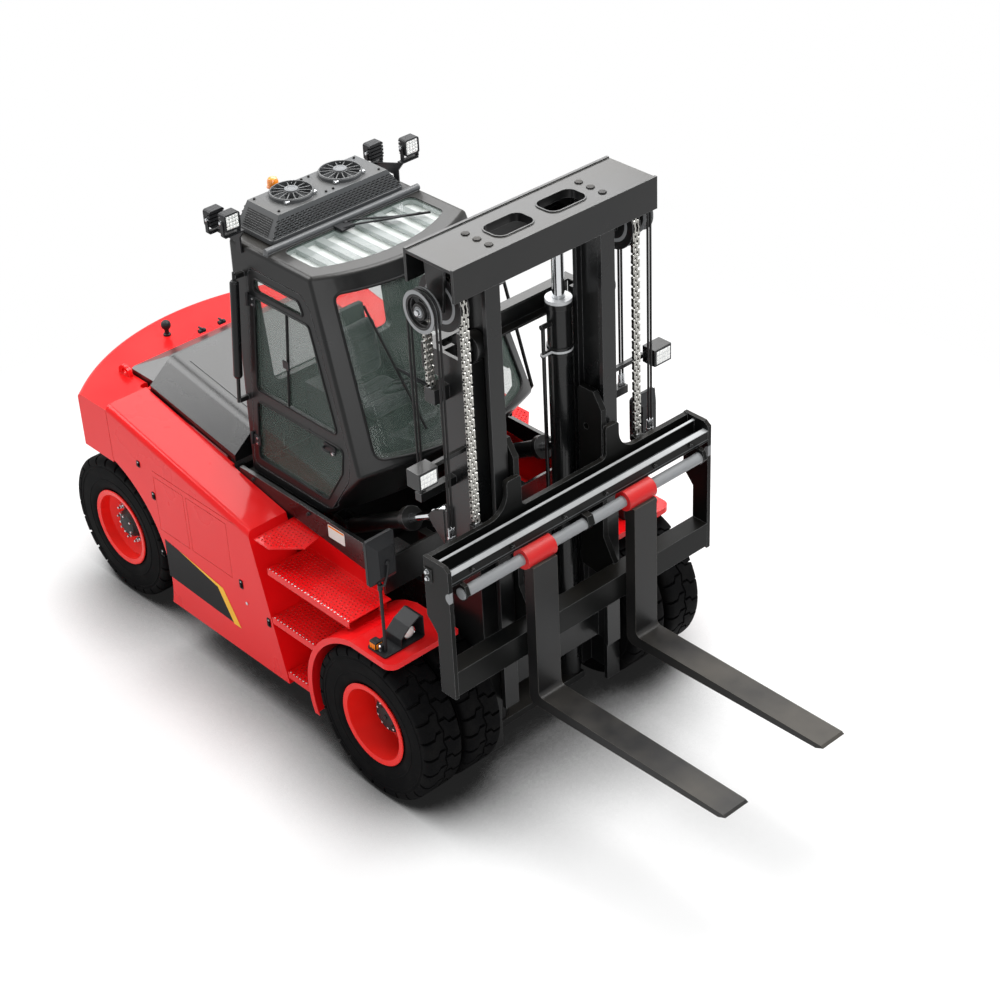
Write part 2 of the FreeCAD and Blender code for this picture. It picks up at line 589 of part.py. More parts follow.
def front_fenders():
    """Arched mudguard over the twin wheels with the step box behind it, one each side."""
    fender = Piece("front_fender_left")
    foot = "-sqrt(fender_radius^2 - (tyre_radius - sill)^2)"
    foot_in = "-sqrt((fender_radius - {0})^2 - (tyre_radius - sill)^2)"
    turn_x = "-sqrt(fender_radius^2 - (fender_top - tyre_radius)^2)"
    turn_in = "-sqrt((fender_radius - {0})^2 - (fender_top - {0} - tyre_radius)^2)"

    def arch(wall):
        """The arch seen from the side, from its foot up to the flat top, of the given thickness."""
        low_turn = turn_in.format(wall)
        return [
            (foot, "sill", "-fender_radius"), (turn_x, "fender_top"), ("-40", "fender_top"),
            ("-40", f"fender_top - {wall}"), (low_turn, f"fender_top - {wall}", f"fender_radius - {wall}"),
            (foot_in.format(wall), "sill"),
        ]

    def flat(inset, rear):
        """The flat front seen from above, with its rounded outer corner."""
        face, front = f"fender_face - {inset}", f"fender_front - {inset}"
        corner = f"(fender_corner - {inset})"
        return [(rear, f"fender_inner + {inset}"), (front, f"fender_inner + {inset}"),
                (front, f"{face} - {corner}", corner), (f"{front} - {corner}", face), (rear, face)]

    fender.pad("XZ", [arch("fender_wall")], "fender_face - fender_inner", offset="fender_inner")
    fender.pad("XZ", [arch("fender_lip")], "lip_wall", offset="fender_face - lip_wall")
    fender.pad("XY", [flat("0", "-60")], "fender_lip", offset="fender_top - fender_lip")
    fender.pocket("XY", [flat("lip_wall", "-80")], "fender_lip - fender_wall + 5",
                  offset="fender_top - fender_lip - 5")
    # inner wall up to the platform
    fender.pad("XZ", [[
        ("-1100", "fender_top - 40"), ("-560", "fender_top - 40"), ("band_front - 30", "fender_top - 70"),
        ("band_front - 30", "cab_floor - 150"), ("-1215", "cab_floor - 80"),
    ]], "step_wall", offset=BAND + "- step_wall")
    # step box and treads with turned-down lips
    fender.pad("XZ", [[
        (PANEL_EDGE.format(z="(sill + 40)"), "sill + 40"), ("-fender_radius + 6", "sill + 40"),
        ("-fender_radius + 6", "fender_top - 30"),
        (PANEL_EDGE.format(z="(fender_top - 30)"), "fender_top - 30"),
    ]], "280", offset="tank_inner + 20")
    for z, x0, x1, reach in (("sill + 90", "-975", "-640", "1195"), ("sill + 510", "-1070", "-590", "1205"),
                             ("fender_top + 36", "-1090", "-235", "1185")):
        fender.pad("XY", [rectangle(x0, BAND + "- step_wall", x1, reach)], "step_wall", offset=z)
        fender.pad("XY", [rectangle(x0, reach + "- step_wall", x1, reach)], "step_lip",
                   offset=z + "- step_lip + 2")
    fender.pad("XY", [[
        ("-1225", BAND + "- step_wall"), ("-925", BAND + "- step_wall"), ("-880", "1010"),
        ("-1050", "1180"), ("-1215", "1180"),
    ]], "step_wall", offset="fender_top + 215")
    # posts that carry the long tread over the mudguard
    fender.pad("XY", [rectangle("-330", BAND + "- step_wall", "-290", BAND + "+ 30")], "115",
               offset="fender_top - 75")
    return pair("front_fenders", fender.body)


def radiator_cover():
    """Grille housing behind the hood, falling to the rear and bevelled to both sides."""
    cover = Piece("radiator_cover")
    cover.pad("XZ", [[
        ("cover_rear", "cw_low + 120"), ("cover_front", "cw_low + 120"), ("cover_front", "cover_top"),
        ("cover_front - 60", "cover_top + 5"), ("cover_rear", "cover_top - 90"),
    ]], "2 * cover_half", both=True)
    for way in ("", "-"):
        cover.pocket("YZ", [[
            (way + "(cover_half - cover_bevel)", "cover_top + 6"),
            (way + "(cover_half + 5)", "cover_top - 105"),
            (way + "(cover_half + 5)", "cover_top + 6"),
        ]], "cover_front - cover_rear + 20", offset="cover_rear - 10")
    return cover.body


def engine_block():
    block = doc.addObject("Part::Box", "engine_block")
    block.Label = "engine_block"
    for side, text in (("Length", "engine_long"), ("Width", "2 * engine_half"), ("Height", "engine_tall")):
        tie(block, side, text)
    return block


def hood():
    """Pressed lid over the engine, falling towards the cab, open underneath."""
    lid = Piece("hood")
    fall = size("hood_fall") / 1000

    def section(inset):
        half, top = f"hood_half - {inset}", f"hood_top_half - {inset}"
        base, rise = "hood_base_rear - 35", f"hood_base_rear + hood_height - 30 - {inset}"
        return [("-(" + half + ")", base), (half, base), (half, "hood_base_rear + 20"), (top, rise),
                ("-(" + top + ")", rise), ("-(" + half + ")", "hood_base_rear + 20")]

    lid.pad("YZ", [section("0")], "hood_front - hood_rear", offset="hood_rear", along=(1, 0, -fall))
    lid.fillet("hood_round", lambda p, d: abs(p.y) > 500 and p.z > 1780 and abs(d.x) > 0.9)
    lid.pocket("YZ", [section("hood_wall")], "hood_front - hood_rear - 2 * hood_wall",
               offset="hood_rear + hood_wall", along=(1, 0, -fall))
    # two pressed lines along the top
    rise = "hood_base_rear + hood_height - 30 - hood_fall / 1000 * groove_start"
    for y in ("hood_groove", "-hood_groove - 9"):
        lid.pocket("YZ", [rectangle(y, rise + "- 4", y + "+ 9", rise + "+ 20")], "700",
                   offset="hood_rear + groove_start", along=(1, 0, -fall))
    return lid.body


# ---------------------------------------------------------------- cab

def cab_volume(name, inset):
    """The cab's closed form, set in by inset on every side."""
    low, top = f"cab_floor + {inset}", f"cab_roof - {inset}"
    tall = f"cab_roof - cab_floor - 2 * ({inset})"

    def plan(front, arc):
        half = f"(cab_half + 60 - {inset})"
        return [("cab_rear - 1500", f"-{half}"), (front, f"-{half}", f"{arc} - {inset}"), (front, half),
                ("cab_rear - 1500", half)]

    lean, chin = size("screen_lean") / 1000, size("chin_lean") / 1000
    # both prisms start at the inset floor, so their feet are carried along their lean
    screen_front = f"screen_foot - 20 - ({inset}) * (1 + screen_lean / 1000)"
    chin_front = f"chin_foot - 20 - ({inset}) * (1 - chin_lean / 1000)"
    screen = Piece(name + "_screen").pad("XY", [plan(screen_front, "screen_arc")], tall, offset=low,
                                         along=(-lean, 0, 1))
    nose = Piece(name + "_chin").pad("XY", [plan(chin_front, "chin_arc")], tall, offset=low,
                                     along=(chin, 0, 1))
    flank = Piece(name + "_flank").pad("YZ", [[
        (f"-(cab_half - {inset})", low), (f"cab_half - {inset}", low),
        (f"cab_roof_half - {inset}", top), (f"-(cab_roof_half - {inset})", top),
    ]], "3000", offset="cab_rear - 400")
    # the rear wall is tucked in at the floor and leans back over the hood
    back = Piece(name + "_back").pad("XZ", [[
        (f"cab_rear + rear_tuck + {inset}", low), ("cab_rear + 2500", low), ("cab_rear + 2500", top),
        (f"cab_rear - rear_lean + {inset}", top),
    ]], "2400", both=True)
    return joined("Part::MultiCommon", name, [screen.body, nose.body, flank.body, back.body])


def softened(label, base, radius):
    """The closed form with its outer edges rounded, all but those of the floor."""
    doc.recompute()
    limit = size("cab_floor") + 60
    edges = [i for i, e in enumerate(base.Shape.Edges, start=1) if e.BoundBox.ZMax > limit]
    result = doc.addObject("Part::Fillet", label)
    result.Base = base
    result.Edges = [(i, size(radius), size(radius)) for i in edges]
    return result


def door_outline(grow):
    """The door seen from the side, in the leaning plane of the cab's flank."""
    g = f"({grow})"
    return [
        (f"cab_rear + 105 - {g}", f"cab_floor + 65 - {g}"),
        (f"chin_foot + 75 + 0.6 * {g}", f"cab_floor + 65 - {g}"),
        (f"-655 + {g}", f"cab_floor + 350 - 0.4 * {g}"), (f"-640 + {g}", f"cab_floor + 510"),
        (f"-1015 + {g}", f"cab_floor + 1430 + 0.4 * {g}"),
        (f"-1105 + 0.4 * {g}", f"cab_floor + 1515 + {g}"),
        (f"cab_rear + 105 - {g}", f"cab_floor + 1515 + {g}"),
    ]


def screen_outline(grow):
    """The windscreen seen from the front."""
    g = f"({grow})"
    return [
        (f"-650 - {g}", f"cab_floor + 515 - {g}"), (f"650 + {g}", f"cab_floor + 515 - {g}"),
        (f"560 + {g}", f"cab_roof - 110 + {g}"), (f"-560 - {g}", f"cab_roof - 110 + {g}"),
    ]


def roof_outline(grow):
    g = f"({grow})"
    return [
        (f"cab_rear + 330 - {g}", f"-545 - {g}"), (f"-1105 + {g}", f"-545 - {g}", "screen_arc - 120"),
        (f"-1105 + {g}", f"545 + {g}"), (f"cab_rear + 330 - {g}", f"545 + {g}"),
    ]


def rear_outline(grow):
    g = f"({grow})"
    return rounded(f"-520 - {g}", f"cab_floor + 560 - {g}", f"520 + {g}", f"cab_roof - 190 + {g}",
                   f"(window_round + {g})")


def cab_shell():
    """Safety frame: roof, posts, floor and rear wall, with the openings of doors and windows."""
    outside = softened("cab_rounded", cab_volume("cab_outside", "0"), "cab_round")
    hollow = joined("Part::Cut", "cab_hollow", [outside, cab_volume("cab_inside", "cab_wall")])
    door = Piece("door_cutter").pad("XZ", [door_outline("door_gap")], "500", both=True)
    door.fillet("window_round + door_gap", lambda p, d: abs(d.y) > 0.9)
    doors = pair("door_cutters", lean_door(door.body, "0"))
    front = Piece("screen_cutter").pad("YZ", [screen_outline("0")], "1200", offset="-1050")
    roof = Piece("roof_cutter").pad("XY", [roof_outline("0")], "200", offset="cab_roof - 100")
    front.fillet("window_round", lambda p, d: abs(d.x) > 0.9)
    roof.fillet("window_round", lambda p, d: abs(d.z) > 0.9)
    back = Piece("rear_cutter").pad("YZ", [rear_outline("0")], "300", offset="cab_rear - 150")
    cutters = joined("Part::Compound", "cab_cutters", [doors, front.body, roof.body, back.body])
    posts = joined("Part::Cut", "cab_posts", [hollow, cutters])
    guard = Piece("roof_guard")
    for i in range(6):
        guard.pad("XZ", [rectangle("cab_rear + 300", "cab_roof - cab_wall", "-980", "cab_roof - 22")],
                  "bar_wide",
                  offset=f"{i - 2.5} * bar_step - bar_wide / 2")
    tube = Piece("roof_tube").pad("XZ", [("circle", "cab_rear + 287", "cab_roof + 14", "tube_radius")],
                                  "1290", both=True)
    grab = grab_rail()
    return joined("Part::MultiFuse", "cab_shell",
                  [posts, guard.body, tube.body, grab, mirrored("grab_rail_twin", grab)])


def grab_rail():
    """Sleeved handle beside the door, carried off the leaning flank by two feet."""
    rail = Piece("grab_rail")
    rail.turn("XZ", [[
        ("0", "cab_floor + 530"), ("grab_radius", "cab_floor + 530"), ("grab_radius", "cab_floor + 715"),
        ("grab_sleeve - 8", "cab_floor + 715"), ("grab_sleeve", "cab_floor + 730"),
        ("grab_sleeve", "cab_floor + 1405"),
        ("grab_sleeve - 8", "cab_floor + 1420"), ("grab_radius", "cab_floor + 1420"),
        ("grab_radius", "cab_floor + 1480"),
        ("0", "cab_floor + 1480"),
    ]], axis="V_Axis")
    for low in ("cab_floor + 545", "cab_floor + 1450"):
        rail.pad("XZ", [rounded("-17", low + "- 17", "17", low + "+ 17", "8")], "grab_stand + 45",
                 offset="-grab_stand - 45")
    lean_door(rail.body, x="cab_rear + 50")
    lean = "atan((cab_half - cab_roof_half) / lean_height)"
    tie(rail.body, "Placement.Base.y", f"cab_half + cab_floor * sin({lean}) + grab_stand * cos({lean})")
    tie(rail.body, "Placement.Base.z", f"cab_floor * (1 - cos({lean})) + grab_stand * sin({lean})")
    return rail.body


def cab_glass():
    """Windscreen, roof pane and rear pane, each let into its opening with a seal's gap."""
    skin = joined("Part::Cut", "glass_skin",
                  [cab_volume("glass_outside", "6"), cab_volume("glass_inside", "6 + glass")])
    front = Piece("screen_pane").pad("YZ", [screen_outline("-4")], "1200", offset="-1050")
    front.fillet("window_round - 4", lambda p, d: abs(d.x) > 0.9)
    roof = Piece("roof_pane").pad("XY", [roof_outline("-4")], "200", offset="cab_roof - 100")
    roof.fillet("window_round - 4", lambda p, d: abs(d.z) > 0.9)
    back = Piece("rear_pane").pad("YZ", [rear_outline("-4")], "300", offset="cab_rear - 150")
    panes = joined("Part::Compound", "panes", [front.body, roof.body, back.body])
    return joined("Part::MultiCommon", "cab_glass", [skin, panes])


DOOR_LIGHTS = (
    [("cab_rear + 160", "cab_floor + 1360"), ("-1075", "cab_floor + 1360"), ("-1135", "cab_floor + 1455"),
     ("cab_rear + 160", "cab_floor + 1455")],
    [("cab_rear + 160", "cab_floor + 640"), ("-755", "cab_floor + 640"), ("-1035", "cab_floor + 1320"),
     ("cab_rear + 160", "cab_floor + 1320")],
    [("cab_rear + 160", "cab_floor + 125"), ("-865", "cab_floor + 125"), ("-715", "cab_floor + 380"),
     ("-705", "cab_floor + 560"), ("cab_rear + 160", "cab_floor + 560")],
)


def on_corner(loops):
    """A test for the upright edges that stand on the corners of side-view outlines."""
    corners = [(size(x), size(z)) for loop in loops for x, z in loop]

    def test(middle, way):
        return abs(way.y) > 0.9 and any(math.hypot(middle.x - x, middle.z - z) < 1 for x, z in corners)

    return test


def lean_door(obj, x=AXLE_X):
    """Lays a flat door, drawn upright at y = 0, into the leaning flank of the cab."""
    angle = "atan((cab_half - cab_roof_half) / lean_height)"
    obj.Placement = FreeCAD.Placement(FreeCAD.Vector(), FreeCAD.Rotation(FreeCAD.Vector(1, 0, 0), 1))
    tie(obj, "Placement.Rotation.Angle", angle)
    tie(obj, "Placement.Base.x", x)
    tie(obj, "Placement.Base.y", f"cab_half + cab_floor * sin({angle})")
    tie(obj, "Placement.Base.z", f"cab_floor * (1 - cos({angle}))")
    return obj


def cab_door():
    door = Piece("cab_door_left")
    door.pad("XZ", [door_outline("0")], "door_wall", offset="-door_wall")
    door.fillet("window_round", lambda p, d: abs(d.y) > 0.9)
    for light in DOOR_LIGHTS:
        door.pocket("XZ", [light], "4 * door_wall", both=True)
    door.fillet("light_round", on_corner(DOOR_LIGHTS))
    return door.body


def door_glass():
    panes = Piece("door_glass_left")
    for light in DOOR_LIGHTS:
        panes.pad("XZ", [light], "glass", offset="-door_wall / 2")
    panes.fillet("light_round", on_corner(DOOR_LIGHTS))
    return panes.body


def operator_seat():
    """Suspension base, pan and backrest shell; the cushions sit on it."""
    seat = Piece("operator_seat")
    seat.pad("XY", [rectangle("-1560", "-210", "-1160", "210")], "250", offset="cab_floor + cab_wall")
    seat.pad("XY", [rectangle("-1600", "-250", "-1080", "250")], "40", offset="cab_floor + cab_wall + 250")
    seat.pad("XZ", [[
        ("-1600", "cab_floor + cab_wall + 290"), ("-1560", "cab_floor + cab_wall + 290"),
        ("-1640", "cab_floor + cab_wall + 850"), ("-1680", "cab_floor + cab_wall + 850"),
    ]], "440", both=True)
    return seat.body


def seat_cushion():
    cushion = Piece("seat_cushion")
    base = "cab_floor + cab_wall + 292"
    cushion.pad("XZ", [[
        ("-1540", base), ("-1060", base), ("-1050", base + "+ 100"), ("-1440", base + "+ 90"),
        ("-1500", base + "+ 540"), ("-1615", base + "+ 540"),
    ]], "460", both=True)
    return cushion.body


def dashboard():
    """Console under the windscreen, steering column with its wheel, and the side lever box."""
    dash = Piece("console")
    low = "cab_floor + cab_wall"
    dash.pad("XZ", [[
        ("-830", low), ("-700", low + "+ 130"), ("-560", low + "+ 330"), ("-620", low + "+ 400"),
        ("-860", low + "+ 330"),
    ]], "520", both=True)
    dash.pad("XY", [rectangle("-1500", "-430", "-1050", "-300")], "560", offset=low)
    column = doc.addObject("Part::Cylinder", "steering_column")
    tie(column, "Radius", "28")
    tie(column, "Height", "330")
    column.Placement = FreeCAD.Placement(FreeCAD.Vector(), FreeCAD.Rotation(FreeCAD.Vector(0, 1, 0), -25))
    tie(column, "Placement.Base.x", "-800")
    tie(column, "Placement.Base.z", low + "+ 300")
    wheel = doc.addObject("Part::Torus", "steering_wheel")
    tie(wheel, "Radius1", "175")
    tie(wheel, "Radius2", "15")
    wheel.Placement = column.Placement
    tie(wheel, "Placement.Base.x", "-800 - 330 * 0.4226")
    tie(wheel, "Placement.Base.z", low + "+ 300 + 330 * 0.9063")
    spokes = doc.addObject("Part::Box", "steering_spokes")
    for side, text in (("Length", "350"), ("Width", "34"), ("Height", "16")):
        tie(spokes, side, text)
    spokes.Placement = FreeCAD.Placement(FreeCAD.Vector(-800, -17, 0),
                                         FreeCAD.Rotation(FreeCAD.Vector(0, 1, 0), -25))
    tie(spokes, "Placement.Base.x", "-800 - 330 * 0.4226 - 175 * 0.9063")
    tie(spokes, "Placement.Base.z", low + "+ 300 + 330 * 0.9063 - 175 * 0.4226 - 8")
    return joined("Part::MultiFuse", "dashboard", [dash.body, column, wheel, spokes])


def fan_guard():
    """A fan's ring with its hub cap and the thin ribs between them, drawn about its own axis."""
    guard = Piece("fan_guard")
    guard.turn("XZ", [[
        ("fan_radius - 12", "-10"), ("fan_radius", "-10"), ("fan_radius", "fan_tall - 8"),
        ("fan_radius - 6", "fan_tall"),
        ("fan_radius - 12", "fan_tall"),
    ]], axis="V_Axis")
    guard.turn("XZ", [[
        ("0", "-10"), ("fan_hub", "-10"), ("fan_hub", "fan_tall"), ("fan_hub - 8", "fan_tall + 8"),
        ("0", "fan_tall + 8"),
    ]], axis="V_Axis")
    guard.pad("XZ", [[
        ("fan_hub - 10", "fan_tall - 8"), ("fan_radius - 4", "fan_tall - 14"),
        ("fan_radius - 4", "fan_tall - 8"),
        ("fan_hub - 10", "fan_tall - 1"),
    ]], "6", both=True)
    guard.around(14)
    tie(guard.body, "Placement.Base.x", "cab_rear + 25")
    tie(guard.body, "Placement.Base.y", "fan_y")
    tie(guard.body, "Placement.Base.z", "cab_roof + unit_top")
    return guard.body


def air_conditioner():
    """Roof condenser: a skirt, flanks that slope inwards on every side and two fans on top."""
    unit = Piece("condenser_box")
    low, rear, front = "cab_roof + 8", "cab_rear - 138", "cab_rear + 245"
    unit.pad("XY", [rounded(rear, "-unit_half", front, "unit_half", "25")], "unit_skirt - 8", offset=low)
    unit.loft("XY", rectangle(rear + "+ 4", "-unit_half + 4", front + "- 4", "unit_half - 4"),
              rectangle(rear + "+ 14", "-unit_top_half", front + "- 42", "unit_top_half"),
              "cab_roof + unit_skirt", "cab_roof + unit_top")
    # the wells under the fans
    for y in ("fan_y", "-fan_y"):
        unit.pocket("XY", [("circle", "cab_rear + 25", y, "fan_radius - 6")], "50",
                    offset="cab_roof + unit_top - 40")
        unit.pad("XY", [("circle", "cab_rear + 25", y, "fan_hub - 4")], "45",
                 offset="cab_roof + unit_top - 42")
    # rails on the roof
    for y in ("-400", "340"):
        unit.pad("XY", [rectangle("cab_rear - 60", y, "cab_rear + 200", y + "+ 60")], "10",
                 offset="cab_roof")
    fan = fan_guard()
    return joined("Part::MultiFuse", "air_conditioner", [unit.body, fan, mirrored("fan_guard_twin", fan)])


def lamp_head(label):
    """A square work lamp that looks along +X: ribbed body, lens recess and its clamping yoke."""
    head = Piece(label)
    side, deep = "lamp_side / 2", "lamp_deep"
    head.pad("YZ", [rounded("-" + side, "-" + side, side, side, "18")], deep, offset="-lamp_deep / 2")
    head.pocket("YZ", [rounded(f"-{side} + 9", f"-{side} + 9", f"{side} - 9", f"{side} - 9", "12")],
                "lamp_lens + 5",
                offset="lamp_deep / 2 - lamp_lens")
    for i in range(4):
        z = f"(lamp_side - 44) * {i} / 3 - lamp_side / 2 + 14"
        head.pocket("XZ", [rectangle("-lamp_deep / 2 - 5", z, "-lamp_deep / 2 + 22", z + "+ 9")],
                    "lamp_side + 20", both=True)
    for y in (f"-{side} - 8", side + "- 2"):
        head.pad("XZ", [[("-16", f"-{side} - 26"), ("16", f"-{side} - 26"), ("14", "10"), ("-14", "10")]],
                 "10", offset=y)
    head.pad("XZ", [rectangle("-16", f"-{side} - 34", "16", f"-{side} - 26")], "lamp_side + 16", both=True)
    return head.body


def work_lamps():
    """Roof work lamps on their posts and the hooded headlights on the mudguards."""
    posts = Piece("lamp_posts_left")
    # the flanks lean out below the roof, so the posts stand off by their slope
    side = "(cab_roof_half + 0.8 + 60 * (cab_half - cab_roof_half) / lean_height)"
    posts.pad("XZ", [[
        ("cab_rear + 10", "cab_roof - 60"), ("cab_rear + 60", "cab_roof - 60"),
        ("cab_rear + 60", "cab_roof + 50"),
        ("cab_rear + 110", "cab_roof + 112"), ("cab_rear + 110", "cab_roof + 122"),
        ("cab_rear - 225", "cab_roof + 22"),
        ("cab_rear - 225", "cab_roof + 10"), ("cab_rear + 10", "cab_roof + 10"),
    ]], "12", offset=side)
    posts.pad("XY", [rectangle("cab_rear + 65", side, "cab_rear + 110", side + "+ 150")], "9",
              offset="cab_roof + 113")
    posts.pad("XY", [rectangle("cab_rear - 225", side + "- 40", "cab_rear - 180", side + "+ 70")], "9",
              offset="cab_roof + 13")
    front, rear = lamp_head("front_lamp_head"), lamp_head("rear_lamp_head")
    for head, x, y, z in ((front, "cab_rear + 87", side + "+ 90", "cab_roof + 216"),
                          (rear, "cab_rear - 203", side + "+ 10", "cab_roof + 116")):
        turned = 0 if head is front else 180
        head.Placement = FreeCAD.Placement(FreeCAD.Vector(),
                                           FreeCAD.Rotation(FreeCAD.Vector(0, 0, 1), turned))
        tie(head, "Placement.Base.x", x)
        tie(head, "Placement.Base.y", y)
        tie(head, "Placement.Base.z", z)
    pod = Piece("headlight_pod_left")
    base = "fender_top + 2"
    pod.pad("XY", [rounded("0", "900", "180", "1235", "20")], "10", offset=base)
    # bent hood over the round lamp, open to the front
    hood_top = [("900", base + "+ 5"), ("1095", base + "+ 5"), ("1095", base + "+ 70"),
                ("1020", base + "+ 135"),
                ("928", base + "+ 180"), ("900", base + "+ 160")]
    pod.pad("YZ", [hood_top], "150", offset="25")
    pod.fillet("14", lambda p, d: abs(d.x) > 0.9 and p.z > size("fender_top") + 60)
    pod.pocket("YZ", [[("908", base + "+ 12"), ("1087", base + "+ 12"), ("1087", base + "+ 66"),
                       ("1014", base + "+ 127"), ("930", base + "+ 166"),
                       ("908", base + "+ 152")]], "110", offset="75")
    pod.pad("YZ", [("circle", "997", "fender_top + 68", "50")], "70", offset="65")
    # turn indicator and the clamp block behind the mirror's pole
    pod.pad("YZ", [rounded("1165", base, "1225", base + "+ 62", "10")], "60", offset="18")
    pod.pad("XY", [rectangle("mirror_x - 22", "mirror_y - 24", "mirror_x + 22 - pole_radius - 0.2",
                             "mirror_y + 24")],
            "48", offset=base)
    left = joined("Part::Compound", "lamps_left",
                  [joined("Part::MultiFuse", "roof_lamps_left", [posts.body, front, rear]), pod.body])
    return pair("work_lamps", left)


def mirrors():
    """Door mirrors: a pole on the mudguard and a shell that tapers to the front."""
    mirror = Piece("mirror_left")
    low, high, inner, outer = "fender_top + 540", "fender_top + 880", "mirror_y - 140", "mirror_y + 85"
    mirror.pad("XY", [("circle", "mirror_x + 22", "mirror_y", "pole_radius")], "760",
               offset="fender_top + 12")
    mirror.pad("YZ", [rounded(inner, low, outer, high, "25")], "22", offset="mirror_x")
    mirror.loft("YZ", rectangle(inner + "+ 3", low + "+ 3", outer + "- 3", high + "- 3"),
                rectangle(inner + "+ 50", low + "+ 70", outer + "- 50", high + "- 60"),
                "mirror_x + 21", "mirror_x + 78")
    return pair("mirrors", mirror.body)


# ---------------------------------------------------------------- mast

def outer_mast():
    """Outer channels, crossmembers, axle saddles, top rollers and tilt brackets."""
    mast = Piece("outer_mast")
    web, back = "outer_web + outer_wall", "outer_rear"
    mast.pad("XY", [[
        ("outer_rear", "inner_web + 35"), ("outer_rear", web), ("outer_front", web),
        ("outer_front", "inner_web + 35"),
        ("outer_front - flange", "inner_web + 35"), ("outer_front - flange", "outer_web"),
        ("outer_rear + flange", "outer_web"), ("outer_rear + flange", "inner_web + 35"),
    ]], "outer_top - outer_low", offset="outer_low")
    # saddle ring around the axle tube, with its arm to the upright
    mast.pad("XZ", [[
        ("-130", "tyre_radius + 130"), ("-130", "tyre_radius - 130", "184"), ("130", "tyre_radius - 130"),
        ("outer_rear + 5", "tyre_radius - 260"), ("outer_rear + 5", "tyre_radius + 420"),
        ("60", "tyre_radius + 180"),
    ]], "85", offset="outer_web - 75")
    mast.pocket("XZ", [("circle", "0", "tyre_radius", "axle_tube + 1")], "500", offset="300")
    # ear plate, pin and top roller
    mast.pad("XZ", [rectangle("315", "outer_top - 120", "outer_front", "outer_top + 183")], "outer_wall",
             offset="outer_web")
    mast.pad("XZ", [("circle", "(inner_rear + inner_front) / 2", "outer_top + 94", "30")], "60",
             offset="outer_web - 50")
    mast.pad("XZ", [("circle", "(inner_rear + inner_front) / 2", "outer_top + 94",
                     "(inner_front - inner_rear) / 2 - flange - 2 - run_gap")],
             "outer_web - roller_y - 12", offset="roller_y")
    # ears of the tilt pin
    for y in ("tilt_y - 62", "tilt_y + 36"):
        mast.pad("XZ", [[
            ("outer_rear + 3", "tilt_eye_z - 150"), ("outer_rear + 3", "tilt_eye_z + 110"),
            ("tilt_eye_x - 10", "tilt_eye_z + 52"), ("tilt_eye_x - 52", "tilt_eye_z"),
            ("tilt_eye_x - 10", "tilt_eye_z - 52"),
        ]], "26", offset=y)
    mast.pad("XZ", [rectangle("outer_rear", "tilt_eye_z - 150", "outer_rear + flange", "tilt_eye_z + 110")],
             "60",
             offset="outer_web")
    mast.pad("XZ", [("circle", "tilt_eye_x", "tilt_eye_z", "tilt_pin")], "118", offset="tilt_y - 59")
    # chain anchor on its bracket
    mast.pad("XZ", [rectangle("outer_rear", "2850", "220", "2950")], "130", offset="outer_web + 15")
    mast.pad("XZ", [rectangle("180", "2240", "235", "2298")], "pulley_y + 32 - outer_web - 15",
             offset="outer_web + 15")
    # work lamp arm and lamp
    mast.pad("XZ", [rectangle("318", "2530", "346", "2558")], "340", offset="outer_web + 15")
    mast.pad("XZ", [rectangle("340", "2500", "450", "2620")], "150", offset="outer_web + 345")
    mast.mirror()
    # crossmembers behind the lift cylinders, gusseted to the uprights, and the cylinders' foot plate
    for low, high in (("outer_low", "outer_low + 120"), ("1480", "1620"), ("outer_top - 180", "outer_top")):
        mast.pad("XZ", [[
            ("cross_rear", low), ("cross_front", low), ("cross_front", low + "+ channel"),
            ("cross_rear + channel", low + "+ channel"), ("cross_rear + channel", high + "- channel"),
            ("cross_front", high + "- channel"), ("cross_front", high), ("cross_rear", high),
        ]], "2 * (outer_web + outer_wall)", both=True)
        for y in ("outer_web - 30", "-outer_web - outer_wall"):
            mast.pad("XZ", [rectangle("cross_front - 5", low, "outer_rear + 5", high)], "outer_wall + 30",
                     offset=y)
    mast.pad("XZ", [rectangle("cross_rear", "outer_low", "lift_x + 90", "barrel_low")], "800", both=True)
    return mast.body


def lift_cylinders():
    """Barrels of the two lift cylinders, bored for their rods, with the gland at the top."""
    barrel = Piece("lift_barrel_left")
    barrel.turn("XZ", [[
        ("0", "barrel_low"), ("barrel_radius", "barrel_low"), ("barrel_radius", "barrel_top - 60"),
        ("barrel_radius + 9", "barrel_top - 60"), ("barrel_radius + 9", "barrel_top"),
        ("lift_rod + 1", "barrel_top"), ("lift_rod + 1", "barrel_top - 90"),
        ("barrel_bore", "barrel_top - 90"),
        ("barrel_bore", "barrel_low + 60"), ("0", "barrel_low + 60"),
    ]], axis="V_Axis")
    # clamp band and the feed pipe on the inner side, with its elbows at both ends
    barrel.pad("XY", [("circle", "0", "0", "barrel_radius + 8"), ("circle", "0", "0", "barrel_radius - 3")],
               "55",
               offset="barrel_top - 385")
    barrel.pad("XY", [("circle", "0", "-pipe_y", "pipe_radius")], "barrel_top - barrel_low - 350",
               offset="barrel_low + 200")
    for z in ("barrel_low + 210", "barrel_top - 160", "barrel_top - 358"):
        barrel.pad("XZ", [("circle", "0", z, "pipe_radius + 4")], "pipe_y - barrel_radius + 24",
                   offset="-pipe_y - pipe_radius - 4")
    tie(barrel.body, "Placement.Base.x", "lift_x")
    tie(barrel.body, "Placement.Base.y", "lift_y")
    return pair("lift_cylinders", barrel.body)


def lift_rods():
    rod = Piece("lift_rod_left")
    rod.turn("XZ", [[
        ("0", "rod_low"), ("barrel_bore - 2", "rod_low"), ("barrel_bore - 2", "rod_low + 60"),
        ("lift_rod", "rod_low + 60"), ("lift_rod", "beam_low"), ("0", "beam_low"),
    ]], axis="V_Axis")
    tie(rod.body, "Placement.Base.x", "lift_x")
    tie(rod.body, "Placement.Base.y", "lift_y")
    return pair("lift_rods", rod.body)


